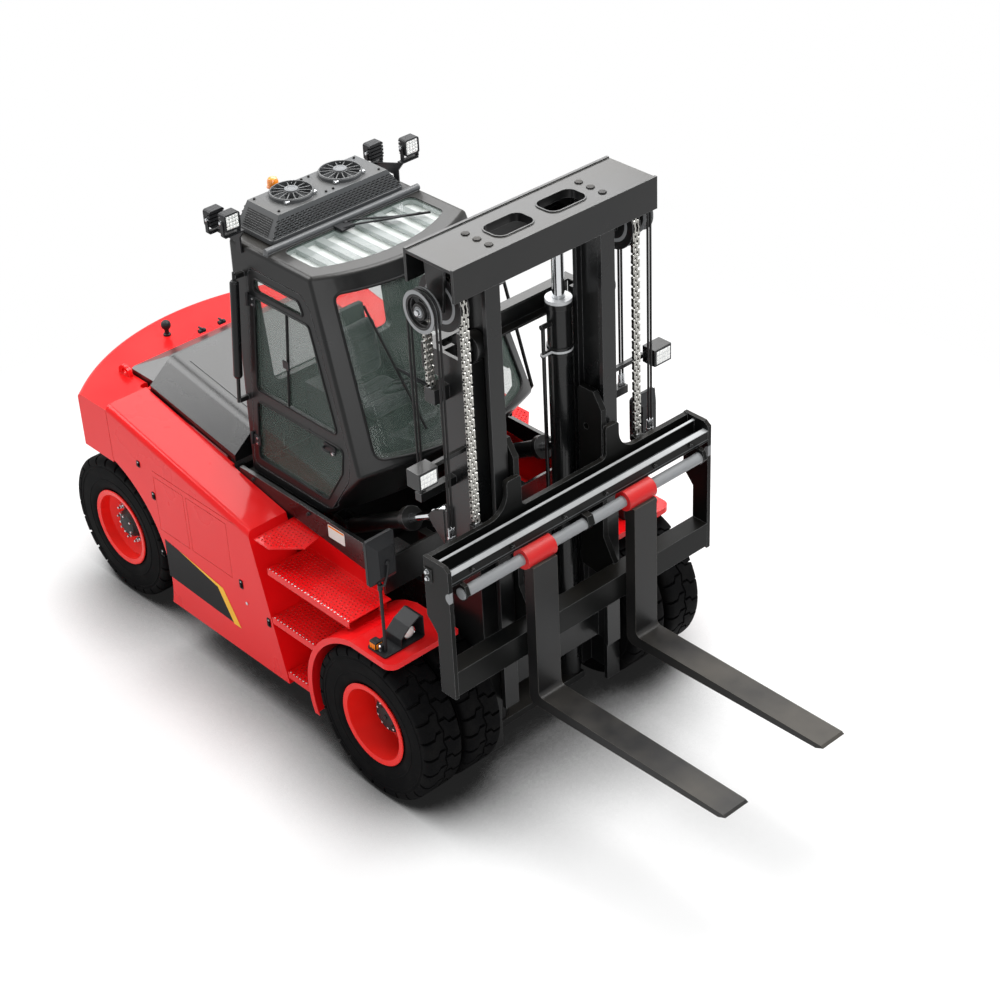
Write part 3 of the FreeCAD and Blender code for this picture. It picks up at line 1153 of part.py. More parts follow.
def inner_mast():
    """Inner uprights of H section under the top beam, with bottom rollers and sheave hangers."""
    mast = Piece("inner_mast")
    web_out = "inner_web + 25"
    mast.pad("XY", [[
        ("inner_rear", "inner_in"), ("inner_rear", "inner_out"), ("inner_rear + flange + 2", "inner_out"),
        ("inner_rear + flange + 2", web_out), ("inner_front - flange - 2", web_out),
        ("inner_front - flange - 2", "inner_out"), ("inner_front", "inner_out"),
        ("inner_front", "inner_in"),
        ("inner_front - flange - 2", "inner_in"), ("inner_front - flange - 2", "inner_web"),
        ("inner_rear + flange + 2", "inner_web"), ("inner_rear + flange + 2", "inner_in"),
    ]], "beam_top - 10 - inner_low", offset="inner_low")
    # the outboard flange is cut away above the bottom roller
    mast.pocket("XZ", [rectangle("inner_rear - 5", "inner_low - 5", "inner_rear + flange + 4",
                                 "inner_low + 230")],
                "100", offset=web_out)
    roller = "(outer_front - outer_rear) / 2 - flange - run_gap"
    mast.pad("XZ", [("circle", "(outer_front + outer_rear) / 2", "inner_low + 112", roller)],
             "outer_web - roller_y - 6", offset="roller_y")
    mast.pad("XZ", [("circle", "(outer_front + outer_rear) / 2", "inner_low + 112", "34")], "30",
             offset=web_out + "- 5")
    # plates that hang the chain sheave and the hose pulley
    for y in ("chain_y - 62", "chain_y + 44"):
        mast.pad("XZ", [[
            ("sheave_x - 90", "beam_top - 15"), ("sheave_x - 60", "sheave_z - 40"),
            ("sheave_x + 60", "sheave_z - 40"),
            ("sheave_x + 90", "beam_top - 15"),
        ]], "18", offset=y)
    mast.pad("XZ", [("circle", "sheave_x", "sheave_z", "26")], "pulley_y + 28 - chain_y + 62",
             offset="chain_y - 62")
    mast.mirror()
    # top beam: front and rear plates, the lid between them, two windows over the cylinders' gap
    mast.pad("XZ", [[
        ("beam_rear", "beam_low"), ("beam_rear + plate", "beam_low"),
        ("beam_rear + plate", "beam_top - plate"),
        ("beam_front - plate", "beam_top - plate"), ("beam_front - plate", "beam_low"),
        ("beam_front", "beam_low"),
        ("beam_front", "beam_top + 8"), ("beam_front - plate", "beam_top + 8"),
        ("beam_front - plate", "beam_top"),
        ("beam_rear + plate", "beam_top"), ("beam_rear + plate", "beam_top + 8"),
        ("beam_rear", "beam_top + 8"),
    ]], "2 * beam_side", both=True)
    for way in ("", "-"):
        y0, y1 = sorted((way + "(window_y - window_half)", way + "(window_y + window_half)"), key=size)
        window = rounded("beam_rear + 140", y0, "beam_front - 110", y1, "window_round")
        rim = rounded("beam_rear + 140 - window_lip", y0 + "- window_lip", "beam_front - 110 + window_lip",
                      y1 + "+ window_lip", "(window_round + window_lip)")
        mast.pad("XY", [rim, window], "12 + 45", offset="beam_top - 50")
        mast.pocket("XY", [window], "100", offset="beam_top - 60")
    # seats for the heads of the lift rods
    for y in ("lift_y - 60", "-lift_y - 60"):
        mast.pad("XZ", [rectangle("beam_rear + 5", "beam_low", "lift_x + 60", "beam_low + 50")], "120",
                 offset=y)
    # crossmember at the foot
    mast.pad("XZ", [rectangle("335", "inner_low + 10", "365", "inner_low + 230")], "2 * inner_web + 10",
             both=True)
    return mast.body


def mast_sheaves():
    """Chain sheaves and hose pulleys on the pins of the inner mast."""
    sheave = Piece("chain_sheave_left")
    sheave.turn("YZ", [[
        ("chain_y - 34", "27"), ("chain_y + 34", "27"), ("chain_y + 34", "sheave_radius + 14"),
        ("chain_y + 26", "sheave_radius + 14"), ("chain_y + 24", "sheave_radius - 19"),
        ("chain_y - 24", "sheave_radius - 19"), ("chain_y - 26", "sheave_radius + 14"),
        ("chain_y - 34", "sheave_radius + 14"),
    ]])
    tie(sheave.body, "Placement.Base.x", "sheave_x")
    tie(sheave.body, "Placement.Base.z", "sheave_z")
    pulley = Piece("hose_pulley_left")
    pulley.turn("YZ", [[
        ("pulley_y - 32", "27"), ("pulley_y + 32", "27"), ("pulley_y + 32", "50"), ("pulley_y + 10", "56"),
        ("pulley_y + 10", "pulley_radius - 34"), ("pulley_y + 32", "pulley_radius - 30"),
        ("pulley_y + 32", "pulley_radius + 8"), ("pulley_y + 27", "pulley_radius + 8"),
        ("pulley_y + 25", "pulley_radius - 12"), ("pulley_y - 25", "pulley_radius - 12"),
        ("pulley_y - 27", "pulley_radius + 8"), ("pulley_y - 32", "pulley_radius + 8"),
    ]])
    # three windows that leave three spokes
    for turn in range(3):
        first, last = (math.radians(turn * 120 + side) for side in (17, 103))
        near, far = "58", "(pulley_radius - 38)"
        spots = [(near, first), (far, first), (far, last), (near, last)]
        (a, b, c, d) = [(f"{r} * {math.cos(t):.5f}", f"{r} * {math.sin(t):.5f}") for r, t in spots]
        pulley.pocket("XZ", [[a, (*b, far), c, (*d, "-" + near)]], "100", offset="pulley_y - 50")
    tie(pulley.body, "Placement.Base.x", "sheave_x")
    tie(pulley.body, "Placement.Base.z", "sheave_z")
    left = joined("Part::Compound", "sheaves_left", [sheave.body, pulley.body])
    return pair("mast_sheaves", left)


def lift_chains():
    """Leaf chain each side: from the carriage over its sheave and down to the outer mast."""
    chain = Piece("lift_chain_left")
    front_in, front_out = "sheave_radius - chain_thick / 2", "sheave_radius + chain_thick / 2"
    chain.pad("XZ", [[
        (front_out, "carriage_top + 2 - sheave_z"), *over_the_top(front_out),
        ("-(" + front_out + ")", "2952 - sheave_z"), ("-(" + front_in + ")", "2952 - sheave_z"),
        *back_over_the_top(front_in), (front_in, "carriage_top + 2 - sheave_z"),
    ]], "chain_wide", offset="chain_y - chain_wide / 2")
    tie(chain.body, "Placement.Base.x", "sheave_x")
    tie(chain.body, "Placement.Base.z", "sheave_z")
    return pair("lift_chains", chain.body)


def mast_hoses():
    """Two hoses each side: from the carriage over the pulley and down behind the mast."""
    hoses = Piece("mast_hose_left")
    front_in, front_out = "pulley_radius - hose_radius", "pulley_radius + hose_radius"
    for y in ("pulley_y - hose_split - hose_radius / 2", "pulley_y + hose_split - hose_radius * 1.5"):
        hoses.pad("XZ", [[
            (front_out, "2062 - sheave_z"), *over_the_top(front_out),
            ("-(" + front_out + ")", "2300 - sheave_z"), ("-(" + front_in + ")", "2300 - sheave_z"),
            *back_over_the_top(front_in), (front_in, "2062 - sheave_z"),
        ]], "2 * hose_radius", offset=y)
    tie(hoses.body, "Placement.Base.x", "sheave_x")
    tie(hoses.body, "Placement.Base.z", "sheave_z")
    return pair("mast_hoses", hoses.body)


def carriage():
    """Fork carriage: side plates, top trough with its shoulders, lower bar, roller plates."""
    frame = Piece("carriage")
    frame.pad("XZ", [[
        ("carriage_step", "carriage_low"), ("carriage_front", "carriage_low"),
        ("carriage_front", "carriage_top - 30"),
        ("carriage_front - 40", "carriage_top"), ("carriage_rear", "carriage_top"),
        ("carriage_rear", "carriage_top - 440"),
        ("carriage_step", "carriage_top - 540"),
    ]], "side_wall", offset="carriage_half - side_wall")
    # rear plate of the top bar, stepped up beside the uprights
    frame.pad("YZ", [[
        ("0", "carriage_top - 230"), ("carriage_half - side_wall + 2", "carriage_top - 230"),
        ("carriage_half - side_wall + 2", "carriage_top - 6"), ("633", "carriage_top - 6", "-150"),
        ("483", "carriage_top + 144"), ("483", "shoulder_top - 20", "20"), ("463", "shoulder_top"),
        ("386", "shoulder_top", "20"),
        ("366", "shoulder_top - 20"), ("366", "carriage_top + 34", "-40"), ("326", "carriage_top - 6"),
        ("0", "carriage_top - 6"),
    ]], "36", offset="carriage_rear")
    frame.pad("XZ", [rectangle("carriage_rear + 30", "shaft_z + shaft_radius + 36", "carriage_front - 4",
                               "carriage_top - 125")],
              "carriage_half - side_wall + 2", offset="0")
    frame.pad("XZ", [rectangle("carriage_rear + 75", "carriage_top - 130", "carriage_rear + 95",
                               "carriage_top - 28")],
              "carriage_half - side_wall + 2", offset="0")
    frame.pad("XZ", [rectangle("carriage_front - 48", "shaft_z + shaft_radius + 36", "carriage_front - 4",
                               "carriage_top - 62")],
              "carriage_half - side_wall + 2", offset="0")
    frame.pad("XZ", [rectangle("carriage_step", "carriage_low + 20", "fork_face - fork_thick - 6",
                               "carriage_low + 200")],
              "carriage_half - side_wall + 2", offset="0")
    # roller plate with three rollers in the inner upright
    frame.pad("XZ", [[
        ("325", "1200"), ("carriage_step + 20", "carriage_low + 30"),
        ("carriage_step + 20", "carriage_low + 190"),
        ("carriage_rear + 10", "1500"), ("carriage_rear + 10", "roller_plate - 110"),
        ("carriage_rear - 60", "roller_plate"),
        ("340", "roller_plate"), ("325", "roller_plate - 20"),
    ]], "42", offset="355")
    frame.pocket("XZ", [("circle", "395", "roller_plate - 277", "22")], "60", offset="350")
    for z in ("roller_plate - 130", "roller_plate - 620", "1310"):
        frame.pad("XZ", [("circle", "(inner_rear + inner_front) / 2", z,
                          "(inner_front - inner_rear) / 2 - flange - 2 - run_gap")],
                  "inner_web - 7 - inner_in", offset="inner_in")
        frame.pad("XZ", [("circle", "(inner_rear + inner_front) / 2", z, "30")], "25", offset="392")
    # half of the fork shaft, its middle bracket, chain lugs and hose blocks
    frame.pad("XZ", [("circle", "shaft_x", "shaft_z", "shaft_radius")], "1060", offset="0")
    frame.pad("XZ", [[
        ("carriage_rear + 34", "carriage_top - 232"), ("shaft_x + 10", "shaft_z - 52"),
        ("shaft_x + 50", "shaft_z"),
        ("shaft_x + 30", "shaft_z + 60"), ("carriage_rear + 100", "carriage_top - 140"),
    ]], "30", offset="1020")
    frame.pad("XZ", [[
        ("carriage_rear + 34", "carriage_top - 232"), ("carriage_rear + 34", "shaft_z - 60"),
        ("shaft_x + 10", "shaft_z - 52"),
        ("shaft_x + 50", "shaft_z"), ("shaft_x + 30", "shaft_z + 60"),
        ("carriage_rear + 100", "carriage_top - 140"),
    ]], "26", offset="0")
    frame.pad("XZ", [rectangle("sheave_x + sheave_radius - 22", "carriage_top - 60", "carriage_rear + 5",
                               "carriage_top + 1")],
              "70", offset="chain_y - 35")
    frame.pad("XZ", [rectangle("446", "2020", "carriage_rear + 5", "2060")], "60", offset="pulley_y - 30")
    frame.mirror()
    return frame.body


def fork():
    """Forged L fork hung by its tube on the shaft, its blade tapered to the tip."""
    fork = Piece("fork_left")
    fork.pad("XZ", [[
        ("fork_face - fork_thick", "shaft_z - 40"),
        ("fork_face - fork_thick", "fork_top - fork_thick + 60", "60"),
        ("fork_face - fork_thick + 60", "fork_top - fork_thick"),
        ("fork_face + fork_length - 60", "fork_top - 40"),
        ("fork_face + fork_length", "fork_top - 12"), ("fork_face + fork_length - 20", "fork_top"),
        ("fork_face + 40", "fork_top", "-40"), ("fork_face", "fork_top + 40"),
        ("fork_face", "shaft_z - 40"),
    ]], "fork_wide", offset="fork_y - fork_wide / 2")
    fork.pad("XZ", [("circle", "shaft_x", "shaft_z", "shaft_radius + 32")], "fork_wide + 40",
             offset="fork_y - fork_wide / 2 - 20")
    fork.pocket("XZ", [("circle", "shaft_x", "shaft_z", "shaft_radius + 0.5")], "fork_wide + 80",
                offset="fork_y - fork_wide / 2 - 40")
    return fork.body


# ---------------------------------------------------------------- tilt cylinders

REACH = "sqrt((tilt_eye_x - tilt_rear_x)^2 + (tilt_eye_z - tilt_rear_z)^2)"
SLOPE = "atan((tilt_eye_z - tilt_rear_z) / (tilt_eye_x - tilt_rear_x))"


def along_cylinder(obj):
    """Lays a piece drawn along +X from the rear pin onto the line of the tilt cylinder."""
    obj.Placement = FreeCAD.Placement(FreeCAD.Vector(), FreeCAD.Rotation(FreeCAD.Vector(0, -1, 0), 1))
    tie(obj, "Placement.Rotation.Angle", SLOPE)
    return node(obj, x=AXLE_X + "+ tilt_rear_x", y="tilt_y", z="tilt_rear_z")


def tilt_cylinder():
    barrel = Piece("tilt_cylinder_left")
    barrel.turn("XZ", [[
        ("tilt_barrel", "0"), (REACH + "- 330", "0"), (REACH + "- 330", "tilt_barrel + 24"),
        (REACH + "- 375", "tilt_barrel + 24"), (REACH + "- 375", "tilt_barrel"),
        ("tilt_barrel", "tilt_barrel"),
    ]])
    barrel.pad("XZ", [("circle", "0", "0", "tilt_eye")], "64", both=True)
    barrel.pad("XZ", [rectangle("20", "-40", "80", "40")], "60", both=True)
    barrel.pocket("XZ", [("circle", "0", "0", "tilt_pin + 0.5")], "300", both=True)
    barrel.turn("XZ", [[
        ("90", "0"), (REACH + "- 300", "0"), (REACH + "- 300", "tilt_rod + 0.6"), ("90", "tilt_rod + 0.6"),
    ]], cut=True)
    return barrel.body


def tilt_rod():
    rod = Piece("tilt_rod_left")
    rod.turn("XZ", [[
        (REACH + "- 660", "0"), (REACH + "- 40", "0"), (REACH + "- 40", "tilt_rod"),
        (REACH + "- 660", "tilt_rod"),
    ]])
    rod.pad("XZ", [("circle", REACH, "0", "tilt_eye")], "64", both=True)
    rod.pocket("XZ", [("circle", REACH, "0", "tilt_pin + eye_play")], "300", both=True)
    return rod.body


# ---------------------------------------------------------------- assembly

node(main_frame())
node(drive_axle(), z="tyre_radius")
node(steer_axle(), x=AXLE_X + "- wheel_base", z="tyre_radius")
node(counterweight())
node(side_panels())
node(front_fenders())
node(radiator_cover())
node(engine_block(), x=AXLE_X + "+ engine_rear", y="-engine_half", z="engine_low")
node(hood())
node(cab_shell())
node(cab_glass())
for piece in (cab_door(), door_glass()):
    nodes.append(lean_door(piece))
    nodes.append(mirrored(piece.Label.replace("_left", "_right"), piece))
node(operator_seat())
node(seat_cushion())
node(dashboard())
node(air_conditioner())
node(work_lamps())
node(mirrors())
for piece in (front_tyres(), front_rims()):
    node(piece, z="tyre_radius")
    nodes.append(mirrored(piece.Label.replace("_left", "_right"), piece))
for piece in (rear_tyre(), rear_rim(), steer_knuckle()):
    node(piece, x=AXLE_X + "- wheel_base", z="tyre_radius")
    nodes.append(mirrored(piece.Label.replace("_left", "_right"), piece))
node(outer_mast())
node(lift_cylinders())
node(inner_mast())
node(lift_rods())
node(mast_sheaves())
node(lift_chains())
node(mast_hoses())
node(carriage())
nodes.append(mirrored("fork_right", node(fork())))
for piece in (tilt_cylinder(), tilt_rod()):
    along_cylinder(piece)
    nodes.append(mirrored(piece.Label.replace("_left", "_right"), piece))

doc.recompute()
for obj in doc.Objects:
    if any(word in ("Invalid", "Error") for word in obj.State):
        raise ValueError(f"{obj.Label} did not build: {obj.State}")
for obj in nodes:
    if obj.Shape.isNull() or not obj.Shape.isValid() or not obj.Shape.Solids:
        raise ValueError(f"{obj.Label} has no valid solid")

os.makedirs("parts", exist_ok=True)
for obj in nodes:
    obj.Shape.exportStep(os.path.join("parts", obj.Label + ".step"))
    box = obj.Shape.BoundBox
    print(f"{obj.Label:24s} {len(obj.Shape.Solids):2d} solids {obj.Shape.Volume / 1e9:8.4f} m3"
          f"  x {box.XMin:8.1f} {box.XMax:8.1f}  y {box.YMin:8.1f} {box.YMax:8.1f}"
          f"  z {box.ZMin:7.1f} {box.ZMax:7.1f}")
print(len(nodes), "nodes")
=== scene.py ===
# %% [markdown]
# A heavy counterbalance forklift: red machine enamel over a black cab and mast. The solid parts come from
# the packed CAD frame and keep their shape; this script gives them their finishes and adds what is too small
# or too fine for the CAD: tread, chain links, hoses, bolts, punched steps, lenses and decals.

# %% Load the frame
import math

import bmesh
import bpy
from mathutils import Matrix, Vector


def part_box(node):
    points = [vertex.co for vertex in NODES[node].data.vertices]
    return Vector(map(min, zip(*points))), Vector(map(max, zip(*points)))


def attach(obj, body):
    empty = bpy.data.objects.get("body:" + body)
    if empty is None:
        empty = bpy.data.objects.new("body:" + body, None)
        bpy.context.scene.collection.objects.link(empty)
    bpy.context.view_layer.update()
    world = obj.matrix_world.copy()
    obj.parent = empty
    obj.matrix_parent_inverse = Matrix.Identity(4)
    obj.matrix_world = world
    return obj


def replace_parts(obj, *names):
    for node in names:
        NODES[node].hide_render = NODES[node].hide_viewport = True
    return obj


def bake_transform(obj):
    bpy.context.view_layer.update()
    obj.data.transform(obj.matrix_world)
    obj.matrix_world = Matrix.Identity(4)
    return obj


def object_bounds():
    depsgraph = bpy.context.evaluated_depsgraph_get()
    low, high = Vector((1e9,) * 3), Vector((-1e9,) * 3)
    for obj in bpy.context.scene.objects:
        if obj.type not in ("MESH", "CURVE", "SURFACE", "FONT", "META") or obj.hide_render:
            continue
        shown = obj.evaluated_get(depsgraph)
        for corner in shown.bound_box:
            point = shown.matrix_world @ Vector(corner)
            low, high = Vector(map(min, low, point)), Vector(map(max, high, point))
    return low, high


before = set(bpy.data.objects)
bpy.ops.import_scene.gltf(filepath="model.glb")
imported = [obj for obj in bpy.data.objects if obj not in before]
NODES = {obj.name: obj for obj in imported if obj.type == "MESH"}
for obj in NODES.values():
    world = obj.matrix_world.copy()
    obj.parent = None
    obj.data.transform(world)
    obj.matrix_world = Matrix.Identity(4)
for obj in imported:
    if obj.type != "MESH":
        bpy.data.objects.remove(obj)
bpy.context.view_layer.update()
print("frame loaded:", len(NODES), "nodes")

# %% [markdown]
# Lengths are easiest to check against the real machine when they are measured from its front axle, which is
# also where the mast pivots. The frame's own origin is the middle of the whole truck, so the axle's place is
# read from the front tyres. X points forward, Y to the driver's left and Z up from the ground, all in metres.

# %% Read the driving places from the frame
FRONT_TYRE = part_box("front_tyres_right")
REAR_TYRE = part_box("rear_tyre_right")
AXLE_X = (FRONT_TYRE[0].x + FRONT_TYRE[1].x) / 2
AXLE_Z = (FRONT_TYRE[0].z + FRONT_TYRE[1].z) / 2
REAR_AXLE_X = (REAR_TYRE[0].x + REAR_TYRE[1].x) / 2
SIDES = {"right": -1, "left": 1}
UP = (0, 0, 1)
AHEAD = (1, 0, 0)
print("front axle at x", round(AXLE_X, 4), "rear axle at x", round(REAR_AXLE_X, 4))


def at(x, y, z):
    """The frame point that lies x metres ahead of the front axle."""
    return Vector((AXLE_X + x, y, z))


# %% [markdown]
# A paint or plastic is a colour, a gloss and a fine surface. Colours are easier to judge as the hex values
# of a colour card, but the shader works in linear light, so one function turns the one into the other.

# %% Turn a hex colour into linear light
def colour(code):
    """The linear colour, with alpha, of an sRGB hex code such as #D61A1C."""
    parts = [int(code[i:i + 2], 16) / 255 for i in (1, 3, 5)]
    return tuple(c / 12.92 if c <= 0.04045 else ((c + 0.055) / 1.055) ** 2.4 for c in parts) + (1.0,)


print("enamel red in linear light:", [round(c, 3) for c in colour("#E20F14")])

# %% [markdown]
# Every material is a small tree of nodes. One function adds a node: it sets the node's properties, writes
# plain values into its sockets and links the sockets it is given. Everything else is which nodes, and why.

# %% Add a node, start and end a material
RELIEF = 0.001  # the height in metres of a bump of full strength


def add_node(tree, kind, inputs=None, out=None, **properties):
    """Adds a shader node with its settings and links, and gives back its output named out, or the node."""
    made = tree.nodes.new("ShaderNode" + kind)
    for name, value in properties.items():
        setattr(made, name, value)
    for socket, value in (inputs or {}).items():
        if isinstance(value, bpy.types.NodeSocket):
            tree.links.new(value, made.inputs[socket])
        else:
            made.inputs[socket].default_value = value
    return made.outputs[out] if out else made


def start_material(name):
    """An empty material and its tree."""
    material = bpy.data.materials.new(name)
    material.use_nodes = True
    material.node_tree.nodes.clear()
    return material, material.node_tree


def finish_material(tree, **inputs):
    """Ends a tree in a Principled surface whose sockets are given by name, with underscores for spaces."""
    sockets = {name.replace("_", " "): value for name, value in inputs.items()}
    surface = add_node(tree, "BsdfPrincipled", sockets, "BSDF")
    add_node(tree, "OutputMaterial", {"Surface": surface})


print("relief is measured in steps of", RELIEF, "m")

# %% [markdown]
# No sheet edge on a real machine is a perfect corner: it is broken by a file or by thick paint, so it catches
# a thin line of light, and there the paint also wears first. The bevel node gives the normal that a rounded
# edge would have. How far that normal turns from the flat face tells where the edges are, and there the colour
# is made paler, partly as worn paint and partly as a painted highlight. A true 2 mm round is finer than this
# picture shows, so it is drawn about twice as wide.

# %% Find the edges, and rule off painted regions
def rounded_edges(tree, radius_mm):
    """The normal rounded over the edges, and a factor that is 1 on an edge and 0 on a face."""
    rounded = add_node(tree, "Bevel", {"Radius": radius_mm / 1000}, "Normal", samples=4)
    flat = add_node(tree, "NewGeometry", out="True Normal")
    agree = add_node(tree, "VectorMath", {0: rounded, 1: flat}, "Value", operation="DOT_PRODUCT")
    return rounded, add_node(tree, "MapRange", {"Value": agree, "From Min": 0.97, "From Max": 0.8}, "Result")


def inside(low, high):
    """A region rule: 1 between two corners given from the front axle, 0 outside them."""
    def rule(tree, place):
        axes = add_node(tree, "SeparateXYZ", {"Vector": place})
        share = None
        for axis, a, b in zip("XYZ", at(*low), at(*high)):
            within = add_node(tree, "Math", {0: axes.outputs[axis], 1: (a + b) / 2, 2: abs(b - a) / 2}, "Value",
                              operation="COMPARE")
            share = within if share is None else add_node(tree, "Math", {0: share, 1: within}, "Value",
                                                          operation="MULTIPLY")
        return share
    return rule


def near_line(x, z, radius):
    """A region rule: 1 within radius of the line across the truck through x, z, as round an axle."""
    def rule(tree, place):
        offset = add_node(tree, "VectorMath", {0: place, 1: at(x, 0, z)}, "Vector", operation="SUBTRACT")
        upright = add_node(tree, "VectorMath", {0: offset, 1: (1, 0, 1)}, "Vector", operation="MULTIPLY")
        reach = add_node(tree, "VectorMath", {0: upright}, "Value", operation="LENGTH")
        return add_node(tree, "Math", {0: reach, 1: radius}, "Value", operation="LESS_THAN")
    return rule


print("region rules ready:", inside.__name__, near_line.__name__)

# %% [markdown]
# Machine enamel is a two-pack polyurethane sprayed on primer. It is glossy, it lies in the soft waves called
# orange peel, about 4 mm apart, and handling leaves it a little uneven in gloss. Its colour hardly varies.
# The same build-up, with other numbers, gives every sprayed finish here, so one function makes them. A trim
# is a region that is sprayed or left in another colour.

# %% Sprayed finishes
EDGE_MM = 4
DUST = "#8A8378"


def sprayed_paint(name, code, roughness, peel_mm, peel_depth, coat=0.0, edge="#7A7B7C", edge_wear_and_highlight_share=0.25,
                  dust_share=0.05, specular=0.3, trims=()):
    """Paint with an orange-peel surface, uneven gloss, edges made paler as wear and as a painted highlight, and
    dust on what faces up.
    """
    material, tree = start_material(name)
    place = add_node(tree, "TexCoord", out="Object")
    cloud = add_node(tree, "TexNoise", {"Vector": place, "Scale": 1.7, "Detail": 4.0}, "Fac")
    normal, on_edge = rounded_edges(tree, EDGE_MM)
    tint = colour(code)
    for trim_code, rule in trims:
        tint = add_node(tree, "Mix", {"Factor": rule(tree, place), "A": tint, "B": colour(trim_code)}, "Result",
                        data_type="RGBA")
    # paler edge tint: partly worn paint, partly a painted highlight along the edges
    worn = add_node(tree, "Math", {0: on_edge, 1: edge_wear_and_highlight_share}, "Value", operation="MULTIPLY")
    tint = add_node(tree, "Mix", {"Factor": worn, "A": tint, "B": colour(edge)}, "Result", data_type="RGBA")
    upward = add_node(tree, "SeparateXYZ", {"Vector": add_node(tree, "NewGeometry", out="Normal")}, "Z")
    lying = add_node(tree, "MapRange", {"Value": upward, "From Min": 0.4, "To Min": 0.15}, "Result")
    patch = add_node(tree, "MapRange", {"Value": cloud, "From Min": 0.35, "From Max": 0.7,
                                        "To Max": dust_share}, "Result")
    dusty = add_node(tree, "Math", {0: lying, 1: patch}, "Value", operation="MULTIPLY")
    tint = add_node(tree, "Mix", {"Factor": dusty, "A": tint, "B": colour(DUST)}, "Result", data_type="RGBA")
    gloss = add_node(tree, "MapRange", {"Value": cloud, "From Min": 0.3, "From Max": 0.75,
                                        "To Min": roughness * 0.85, "To Max": roughness * 1.25}, "Result")
    peel = add_node(tree, "TexNoise", {"Vector": place, "Scale": 1000 / peel_mm, "Detail": 1.0}, "Fac")
    relief = add_node(tree, "Bump", {"Height": peel, "Strength": peel_depth, "Distance": RELIEF,
                                     "Normal": normal}, "Normal")
    finish_material(tree, Base_Color=tint, Roughness=gloss, Normal=relief, Specular_IOR_Level=specular,
                    Coat_Weight=coat, Coat_Roughness=0.06)
    return material


# the pink edge colours of the two red enamels are a painted highlight along their edges
red_enamel = sprayed_paint("red_machine_enamel", "#E20F14", 0.3, 4, 0.10, coat=0.3, edge="#FF7A6E",
                           edge_wear_and_highlight_share=0.4, specular=0.08)
# the black middle of each wheel, inside its ring of nuts
WHEEL_MIDDLES = [("#171718", near_line(0, AXLE_Z, 0.175)),
                 ("#171718", near_line(REAR_AXLE_X - AXLE_X, AXLE_Z, 0.122))]
rim_enamel = sprayed_paint("red_wheel_enamel", "#EE1F18", 0.36, 3, 0.2, coat=0.1, edge="#FF6A5C",
                           dust_share=0.08, specular=0.2, trims=WHEEL_MIDDLES)
print("made", red_enamel.name, rim_enamel.name)

# %% [markdown]
# The cab, hood and radiator cover are black powder coat: baked on dry, so finer in texture and half matt. The
# guard bars over the roof pane are pale grey and the tube across it is a mid grey. The mast is sprayed with a
# harder, glossier black, rubbed pale along the carriage's upper rails. The axles are plain black over a rough
# casting. The forks' two sleeves are red like the body.

# %% Black and grey finishes
SHEAVE_X, SHEAVE_Z = 0.335, 3.6
SHAFT_X, SHAFT_Z = 0.75, 1.9
ROOF_TRIMS = [("#56585A", inside((-1.505, -0.66, 3.217), (-1.452, 0.66, 3.269))),
              ("#9B9D9E", inside((-1.47, -0.56, 3.17), (-1.0, 0.56, 3.2095)))]
CARRIAGE_TRIMS = [("#A9ABAC", inside((0.596, -1.115, 2.086), (0.622, 1.115, 2.094))),
                  ("#A9ABAC", inside((0.692, -1.115, 2.052), (0.742, 1.115, 2.060))),
                  ("#8A8C8E", near_line(SHAFT_X, SHAFT_Z, 0.0395)),
                  ("#55585A", inside((0.54, -1.115, 1.990), (0.75, 1.115, 1.996)))]
SHEAVE_TRIMS = [(code, near_line(SHEAVE_X, SHEAVE_Z, radius))
                for code, radius in (("#8E9092", 0.135), ("#141415", 0.112), ("#85878A", 0.035))]
BARREL_TRIMS = [("#C9CBCD", inside((0.08, -0.45, low), (0.29, 0.45, high)))
                for low, high in ((3.128, 3.152), (2.786, 2.802))]
# the pale grey edge colours below are partly worn paint and partly a painted highlight along the edges
black_powder_coat = sprayed_paint("black_powder_coat", "#0E0F10", 0.28, 1.2, 0.15, edge="#8C8E90",
                                  dust_share=0.06, specular=0.6)
cab_coat = sprayed_paint("black_cab_powder_coat", "#0F1011", 0.3, 1.2, 0.12, coat=0.1, edge="#A6A8AA",
                         edge_wear_and_highlight_share=0.6, dust_share=0.08, specular=0.22, trims=ROOF_TRIMS)
condenser_grey = sprayed_paint("grey_condenser_cover", "#4A4C4E", 0.45, 1.5, 0.3, edge="#C9CBCC",
                               edge_wear_and_highlight_share=0.5, dust_share=0.15)
black_mast_enamel = sprayed_paint("black_mast_enamel", "#101112", 0.3, 4, 0.10, coat=0.12, edge="#A4A6A8",
                                  edge_wear_and_highlight_share=0.45, dust_share=0.10)
carriage_enamel = sprayed_paint("black_carriage_enamel", "#0B0C0C", 0.34, 4, 0.15, specular=0.12,
                                edge="#B4B6B7", edge_wear_and_highlight_share=0.5, dust_share=0.08, trims=CARRIAGE_TRIMS)
black_casting = sprayed_paint("black_painted_casting", "#121213", 0.5, 3, 0.5, dust_share=0.15)
sheave_iron = sprayed_paint("rubbed_sheave_iron", "#141415", 0.42, 3, 0.4, edge="#B9BABB", edge_wear_and_highlight_share=0.5,
                            trims=SHEAVE_TRIMS)
barrel_enamel = sprayed_paint("black_barrel_enamel", "#101112", 0.28, 4, 0.08, coat=0.3, trims=BARREL_TRIMS)
fork_paint = sprayed_paint("worn_fork_paint", "#101011", 0.42, 3, 0.3, edge="#8F8B84", edge_wear_and_highlight_share=0.5,
                           dust_share=0.25, trims=[("#C8181B", near_line(SHAFT_X, SHAFT_Z, 0.073))])
print("made", len(bpy.data.materials), "sprayed finishes")

# %% [markdown]
# Tyre rubber is filled with carbon black: a near-black that scatters light broadly, never glossy, and greyed
# by road dust where the ground has rubbed it. The trim plastics and the hoses are moulded too, finer in grain.

